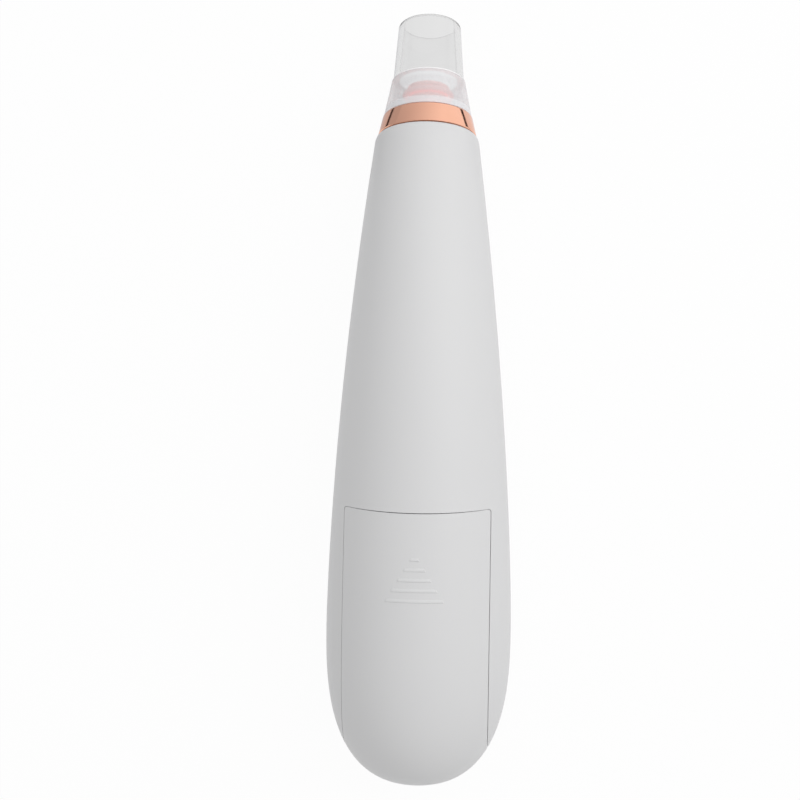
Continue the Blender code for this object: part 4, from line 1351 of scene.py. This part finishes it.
    def skirt(self) -> bpy.types.Object:
        """The head's frosted skirt, with the web under the tube and the socket that grips the seal."""
        joint = self.head_joint - self.split
        mouth = self.port_radius + self.port_play
        socket = self.port_radius - self.groove_depth + 2 * self.seal_radius + self.socket_play
        under_web = self.head_step - self.web
        profile = [
            (self.head_low_radius, self.head_low),
            (self.head_step_radius, self.head_step),
            (self.tube_radius + self.tube_flare, joint),
            (mouth + self.web_edge, joint),
            (mouth, self.head_joint - self.web_slope),
            (mouth, self.head_stop),
            (socket, self.head_stop),
            (socket, self.socket_low),
            (socket + self.socket_wall, self.socket_low),
            (socket + self.socket_wall, under_web),
            (self.head_step_radius - self.step_wall, under_web),
            (self.head_low_radius - self.head_wall, self.head_low),
        ]
        return self.turn("suction_head_fine", rounded(profile, self.soft, hold=self.hold), self.fine_steps)

    def build(self) -> list[bpy.types.Object]:
        """Make everything at the neck."""
        return [
            dress(self.ring(), Finishes.COPPER, Body.HOUSING, "neck_ring"),
            dress(self.port(), Finishes.ROSE, Body.HOUSING, "suction_port"),
            dress(self.seal(), Finishes.SEAL, Body.HOUSING, "head_seal"),
            dress(self.sponge(), Finishes.SPONGE, Body.HOUSING, "filter_sponge"),
            dress(self.skirt(), Finishes.SKIRT, Body.HEAD, "suction_head"),
            dress(self.tube(), Finishes.TUBE, Body.HEAD),
        ]


@dataclass
class Control:
    """Button, its ring and the lens on the flat front."""

    housing: Housing
    depth: float = 0.0023
    ring_radius: float = 0.0070
    ring_bore: float = 0.0061
    ring_edge: float = 0.0002
    ring_lip: float = 0.0005
    button_radius: float = 0.0058
    button_face: float = 0.0209
    button_land: float = 0.0006
    button_edge: float = 0.0005
    dish: tuple[tuple[float, float], ...] = ((0.0, 0.0004), (0.0018, 0.00037), (0.0036, 0.00022))
    flange_radius: float = 0.0069
    flange_front: float = 0.0004
    flange_back: float = 0.0014
    stem_radius: float = 0.0015
    stem_end: float = 0.01695
    lens_back: float = 0.0168
    lens_flange: tuple[float, float] = (0.0176, 0.0188)
    lens_flange_radius: float = 0.0022
    lens_edge: float = 0.0003
    lens_crown: float = 0.0001
    lens_steps: int = 48
    soft: float = 0.0002
    ring_soft: float = 0.0001

    def ring(self, flat: float) -> Profile:
        """The ring's profile, sunk a little in the flat front."""
        return [
            (self.ring_radius, flat - self.depth),
            (self.ring_radius, flat - 2 * self.ring_edge),
            (self.ring_radius - self.ring_edge, flat - self.ring_edge),
            (self.ring_bore + self.ring_edge, flat - self.ring_edge),
            (self.ring_bore, flat - self.ring_lip),
            (self.ring_bore, flat - self.depth),
        ]

    def button(self, flat: float) -> Profile:
        """The button's profile, dished, with the flange behind the shell and the stem to the switch."""
        front = flat - self.depth - self.flange_front
        back = flat - self.depth - self.flange_back
        return [
            *[(r, self.button_face - sunk) for r, sunk in self.dish],
            (self.button_radius - self.button_land, self.button_face),
            (self.button_radius, self.button_face - self.button_edge),
            (self.button_radius, front),
            (self.flange_radius, front),
            (self.flange_radius, back),
            (self.stem_radius, back),
            (self.stem_radius, self.stem_end),
            (0.0, self.stem_end),
        ]

    def lens(self, flat: float) -> Profile:
        """The lens's profile, with its flange behind the shell."""
        radius = self.housing.lens_radius
        back, front = self.lens_flange
        return [
            (0.0, self.lens_back),
            (radius, self.lens_back),
            (radius, back),
            (self.lens_flange_radius, back),
            (self.lens_flange_radius, front),
            (radius, front),
            (radius, flat - self.lens_edge),
            (0.0, flat - self.lens_crown),
        ]

    def build(self) -> list[bpy.types.Object]:
        """Make the control."""
        form = self.housing.form
        flat = form.flat_depth
        place = form.across(0.0, self.housing.button_height)
        lens_place = form.across(0.0, self.housing.lens_height)
        ring = solid("button_ring_fine", turned(rounded(self.ring(flat), self.ring_soft)), place)
        button = solid("power_button_fine", turned(rounded(self.button(flat), self.soft)), place)
        lens = turned(rounded(self.lens(flat), self.soft), self.lens_steps)
        lens = solid("indicator_lens_fine", lens, lens_place)
        return [
            dress(ring, Finishes.COPPER, Body.HOUSING, "button_ring"),
            dress(button, Finishes.BUTTON, Body.BUTTON, "power_button"),
            dress(lens, Finishes.LENS, Body.HOUSING, "indicator_lens"),
        ]


@dataclass
class Cells:
    """The two cells and the springs that press on them."""

    housing: Housing
    radius: float = 0.0071
    middle: float = -0.0040
    body: float = 0.0488
    low_edge: tuple[float, float] = (0.0009, 0.0004)
    shoulder: tuple[tuple[float, float], ...] = (
        (0.0, 0.0016),
        (0.0002, 0.0012),
        (0.0, 0.0008),
        (0.0003, 0.0001),
        (0.0012, 0.0),
    )
    nub: float = 0.0011
    nub_radius: float = 0.0027
    plate: float = 0.0004
    wire: float = 0.00035
    turns: float = 3.5
    turn_steps: int = 36
    coil_radius: float = 0.0046
    coil_taper: float = 0.0020
    coil_crease: float = 60.0
    wire_steps: int = 12
    soft: float = 0.0002

    def cell(self, name: str, place: Matrix) -> bpy.types.Object:
        """One cell, with the groove under its shoulder."""
        inward, rise = self.low_edge
        profile = [(0.0, 0.0), (self.radius - inward, 0.0), (self.radius, rise)]
        profile += [(self.radius - less, self.body - below) for less, below in self.shoulder]
        profile += [(self.nub_radius, self.body), (self.nub_radius, self.body + self.nub)]
        profile.append((0.0, self.body + self.nub))
        return solid(name, turned(rounded(profile, self.soft)), place)

    def spring(self, name: str, x: float, low: float, high: float, wide_low: bool) -> bpy.types.Object:
        """A conical spring that narrows towards its cell, as a swept wire."""
        count = int(self.turns * self.turn_steps)
        around = [2 * pi * k / self.wire_steps for k in range(self.wire_steps)]
        along = Vector((0.0, 0.0, 1.0))
        loops = []
        for i in range(count + 1):
            s = i / count
            radius = self.coil_radius - self.coil_taper * (s if wide_low else 1 - s)
            a = 2 * pi * self.turns * s
            middle = Vector((x + radius * cos(a), self.middle + radius * sin(a), low + (high - low) * s))
            out = Vector((cos(a), sin(a), 0.0))
            loops.append([middle + self.wire * (out * cos(b) + along * sin(b)) for b in around])
        return self.housing.at(name, loft(loops))

    def build(self) -> list[bpy.types.Object]:
        """Make the cells and the springs."""
        housing = self.housing
        low_seat = housing.bay_low + GAP + self.plate
        high_seat = housing.bay_high - GAP - self.plate
        reach = self.body + self.nub
        left_low = high_seat - GAP - reach
        right_low = low_seat + GAP + reach
        room = self.wire + GAP
        turned_over = Matrix.Rotation(pi, 4, "X")
        left = (-housing.cell_x, left_low, Matrix.Identity(4), low_seat + room, left_low - room, True)
        right = (housing.cell_x, right_low, turned_over, right_low + room, high_seat - room, False)
        made = []
        for side, (x, height, turn, low, high, wide_low) in (("left", left), ("right", right)):
            place = housing.form.laid @ Matrix.Translation((x, self.middle, height)) @ turn
            cell = self.cell(f"battery_{side}_fine", place)
            made.append(dress(cell, Finishes.CELL, Body.HOUSING, f"battery_{side}"))
            spring = f"spring_{side}"
            coil = self.spring(f"{spring}_fine", x, low, high, wide_low)
            coil = dress(coil, Finishes.NICKEL, Body.HOUSING, spring, self.coil_crease)
            made.append(coil)
        return made


@dataclass
class Inner:
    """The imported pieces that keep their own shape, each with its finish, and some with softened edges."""

    nodes: dict[str, bpy.types.Object]
    finishes: tuple[tuple[Finish, tuple[str, ...]], ...] = (
        (Finishes.SILICONE, ("air_hose",)),
        (Finishes.LENS, ("led_lamp",)),
        (Finishes.BOARD, ("circuit_board",)),
        (Finishes.STEEL, ("tact_switch", "motor_can", "motor_shaft", "drive_pin")),
        (Finishes.STEEL, ("pump_screw_1", "pump_screw_2", "pump_screw_3")),
        (Finishes.STEEL, ("housing_screw_lower", "housing_screw_upper")),
        (Finishes.DARK, ("switch_plunger", "motor_driver", "motor_end_cap", "drive_cam", "valve_plate")),
        (Finishes.NICKEL, ("contact_bridge", "contact_positive", "contact_negative")),
        (Finishes.NICKEL, ("motor_terminal_left", "motor_terminal_right")),
        (Finishes.RED, ("battery_wire_red", "motor_wire_red")),
        (Finishes.BLACK, ("battery_wire_black", "motor_wire_black")),
        (Finishes.FERRITE, ("magnet_left", "magnet_right")),
        (Finishes.WINDING, ("motor_rotor",)),
        (Finishes.NYLON, ("wobble_plate", "pump_base", "pump_cover")),
        (Finishes.RUBBER, ("diaphragm",)),
    )
    bevelled: tuple[str, ...] = (
        "led_lamp",
        "circuit_board",
        "tact_switch",
        "motor_driver",
        "contact_bridge",
        "contact_positive",
        "contact_negative",
    )
    bevel: float = 0.0001

    def finished(self, name: str, finish: Finish) -> bpy.types.Object:
        """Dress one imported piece."""
        node = self.nodes[name]
        if not node.material_slots:
            node.data.materials.append(finish.material())
        for place in node.material_slots:
            place.material = finish.material()
        if name in self.bevelled:
            edge = node.modifiers.new("soft edges", "BEVEL")
            edge.width = self.bevel
            edge.segments = 2
            edge.limit_method = "ANGLE"
        return node

    def build(self) -> list[bpy.types.Object]:
        """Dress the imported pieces."""
        return [self.finished(name, finish) for finish, names in self.finishes for name in names]


# The studio


@dataclass(frozen=True)
class Lamp:
    """A soft lamp: where it stands, what it points at, its size and its power in watts."""

    name: str
    place: tuple[float, float, float]
    aim: tuple[float, float, float]
    size: tuple[float, float]
    power: float

    def hang(self) -> bpy.types.Object:
        """Put the lamp in the scene, out of sight of metal and glass, which show the soft room instead."""
        data = bpy.data.lights.new(self.name, "AREA")
        data.shape = "RECTANGLE"
        data.size, data.size_y = self.size
        data.energy = self.power
        made = bpy.data.objects.new(self.name, data)
        bpy.context.scene.collection.objects.link(made)
        made.location = self.place
        made.visible_transmission = False
        made.visible_glossy = False
        made.rotation_euler = (Vector(self.aim) - Vector(self.place)).to_track_quat("-Z", "Y").to_euler()
        return made


@dataclass
class Studio:
    """Camera, lamps, and a white ground with the dark edge that the ring mirrors."""

    form: Drop
    distance: float = 0.300
    focal_pixels: float = 1219.5
    frame_pixels: float = 800.0
    sensor: float = 36.0
    clip: tuple[float, float] = (0.01, 50.0)
    turn: float = radians(-4.0)
    roll: float = radians(0.87)
    right: float = 0.00543
    up: float = 0.0017
    aim_height: float = 0.095
    ambient: float = 0.57
    shown: float = 0.94
    ground_light: float = 1.01
    ground_size: float = 4.0
    ground_drop: float = 0.0002
    white: Colour = (1.0, 1.0, 1.0)
    paper: Colour = (0.80, 0.80, 0.80)
    clear: Colour = (0.80, 0.80, 0.80)
    horizon: Colour = (0.55, 0.55, 0.56)
    room_left: Colour = (0.47, 0.47, 0.48)
    room_right: Colour = (1.0, 0.99, 0.98)
    near_left: Colour = (0.58, 0.58, 0.60)
    near_right: Colour = (0.84, 0.82, 0.83)
    dark: Colour = (0.03, 0.02, 0.02)
    below_neck: Colour = (0.95, 0.95, 0.95)
    room_span: tuple[float, float] = (-0.95, 0.5)
    rise_span: tuple[float, float] = (0.0, 0.35)
    near_span: tuple[float, float] = (-0.01, 0.01)
    far_span: tuple[float, float] = (-0.05, 0.05)
    edge: tuple[float, float] = (0.043, 0.056)
    edge_run: float = 0.002
    beside: tuple[float, float] = (0.064, 0.074)
    lamps: tuple[Lamp, ...] = (
        Lamp("key lamp", (0.46, 0.24, 0.52), (0.0, 0.02, 0.02), (0.45, 0.60), 1.55),
        Lamp("top lamp", (0.05, 0.38, 0.66), (0.0, 0.02, 0.02), (0.50, 0.30), 0.8),
    )

    def camera(self) -> bpy.types.Object:
        """The camera, at the photograph's place over the tool's back."""
        across = Vector((cos(self.turn), -sin(self.turn), 0.0))
        ahead = Vector((sin(self.turn), cos(self.turn), 0.0))
        along = Vector((0.0, 0.0, 1.0))
        right = across * cos(self.roll) + along * sin(self.roll)
        up = along * cos(self.roll) - across * sin(self.roll)
        aim = Vector((0.0, 0.0, self.aim_height))
        place = aim - right * self.right - up * self.up - ahead * self.distance
        matrix = Matrix.Identity(4)
        for column, axis in enumerate((right, up, -ahead, place)):
            for row in range(3):
                matrix[row][column] = axis[row]
        data = bpy.data.cameras.new("photo camera")
        data.sensor_width = self.sensor
        data.lens = self.sensor * self.focal_pixels / self.frame_pixels
        data.clip_start, data.clip_end = self.clip
        made = bpy.data.objects.new("photo camera", data)
        bpy.context.scene.collection.objects.link(made)
        made.matrix_world = self.form.laid @ matrix
        bpy.context.scene.camera = made
        return made

    def sky(self) -> None:
        """White to the camera, a soft room to gloss and glass, and a plain light elsewhere."""
        world = bpy.data.worlds.new("soft room")
        world.use_nodes = True
        bpy.context.scene.world = world
        wiring = Wiring(world.node_tree)
        rays = wiring.node("ShaderNodeLightPath")
        across, _, up = wiring.parts(wiring.node("ShaderNodeTexCoord").outputs["Generated"])
        room = wiring.blend(across.between(*self.room_span), self.room_left, self.room_right)
        through = wiring.blend(up.between(*self.rise_span), self.horizon, self.clear)
        colour = wiring.blend(wiring.value(rays, "Is Glossy Ray"), (self.ambient,) * 3, room)
        colour = wiring.blend(wiring.value(rays, "Is Transmission Ray"), colour, through)
        colour = wiring.blend(wiring.value(rays, "Is Camera Ray"), colour, self.white)
        light = wiring.node("ShaderNodeBackground", inputs={"Color": colour, "Strength": 1.0})
        wiring.node("ShaderNodeOutputWorld", inputs={"Surface": light.outputs[0]})

    def ground(self) -> bpy.types.Object:
        """A white ground with the tool's shadow and a dark edge that only metal and glass mirror."""
        bm = bmesh.new()
        bmesh.ops.create_grid(bm, x_segments=1, y_segments=1, size=self.ground_size)
        made = solid("ground", bm, Matrix.Translation((0.0, 0.0, -self.ground_drop)))
        finish = bpy.data.materials.new("white ground")
        finish.use_nodes = True
        wiring = Wiring(finish.node_tree)
        rays = wiring.node("ShaderNodeLightPath")
        camera = wiring.value(rays, "Is Camera Ray")
        glossy = wiring.value(rays, "Is Glossy Ray")
        through = wiring.value(rays, "Is Transmission Ray")
        across, along, _ = wiring.parts(wiring.place())
        away = across.math("ABSOLUTE", across)
        inner, outer = self.edge
        edge = away.between(inner - self.edge_run, inner) * away.between(outer + self.edge_run, outer)
        near = wiring.blend(across.between(*self.near_span), self.near_left, self.near_right)
        far = wiring.blend(across.between(*self.far_span), self.room_left, self.room_right)
        mirrored = wiring.blend(away.between(inner, outer), near, far)
        mirrored = wiring.blend(edge, mirrored, self.dark)
        mirrored = wiring.blend(along.between(*self.beside), self.below_neck, mirrored)
        colour = wiring.blend(glossy, self.white, mirrored)
        colour = wiring.blend(through, colour, self.clear)
        seen = camera * self.shown + glossy + through * self.shown
        paper = wiring.node("ShaderNodeBsdfDiffuse", inputs={"Color": self.paper})
        # The ground's emission: the white backdrop for the camera, and the tones with a dark edge that
        # metal and glass mirror.
        painted_and_backdrop_glow = wiring.node("ShaderNodeEmission", inputs={"Color": colour, "Strength": self.ground_light})
        mix = wiring.node("ShaderNodeMixShader", inputs={0: seen, 1: paper.outputs[0], 2: painted_and_backdrop_glow.outputs[0]})
        wiring.node("ShaderNodeOutputMaterial", inputs={"Surface": mix.outputs[0]})
        made.data.materials.append(finish)
        return made

    def build(self) -> None:
        """Set up the studio."""
        bpy.context.scene.view_settings.view_transform = "Standard"
        self.camera()
        self.sky()
        self.ground()
        for lamp in self.lamps:
            lamp.hang()


def report(pieces: Iterable[bpy.types.Object]) -> None:
    """Log each piece with its size."""
    for piece in pieces:
        size = ", ".join(f"{part * 1000:.1f}" for part in piece.dimensions)
        LOG.info("%s: %s mm", piece.name, size)


def main() -> None:
    """Build the tool round its frame, then the studio."""
    logging.basicConfig(level=logging.INFO, format="%(message)s")
    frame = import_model()
    housing = Housing()
    assemblies: list[Callable[[], list[bpy.types.Object]]] = [
        housing.build,
        BatteryDoor(housing).build,
        Neck(housing).build,
        Control(housing).build,
        Cells(housing).build,
        Inner(frame["nodes"]).build,
    ]
    for build in assemblies:
        report(build())
    Studio(housing.form).build()


if __name__ == "__main__":
    main()
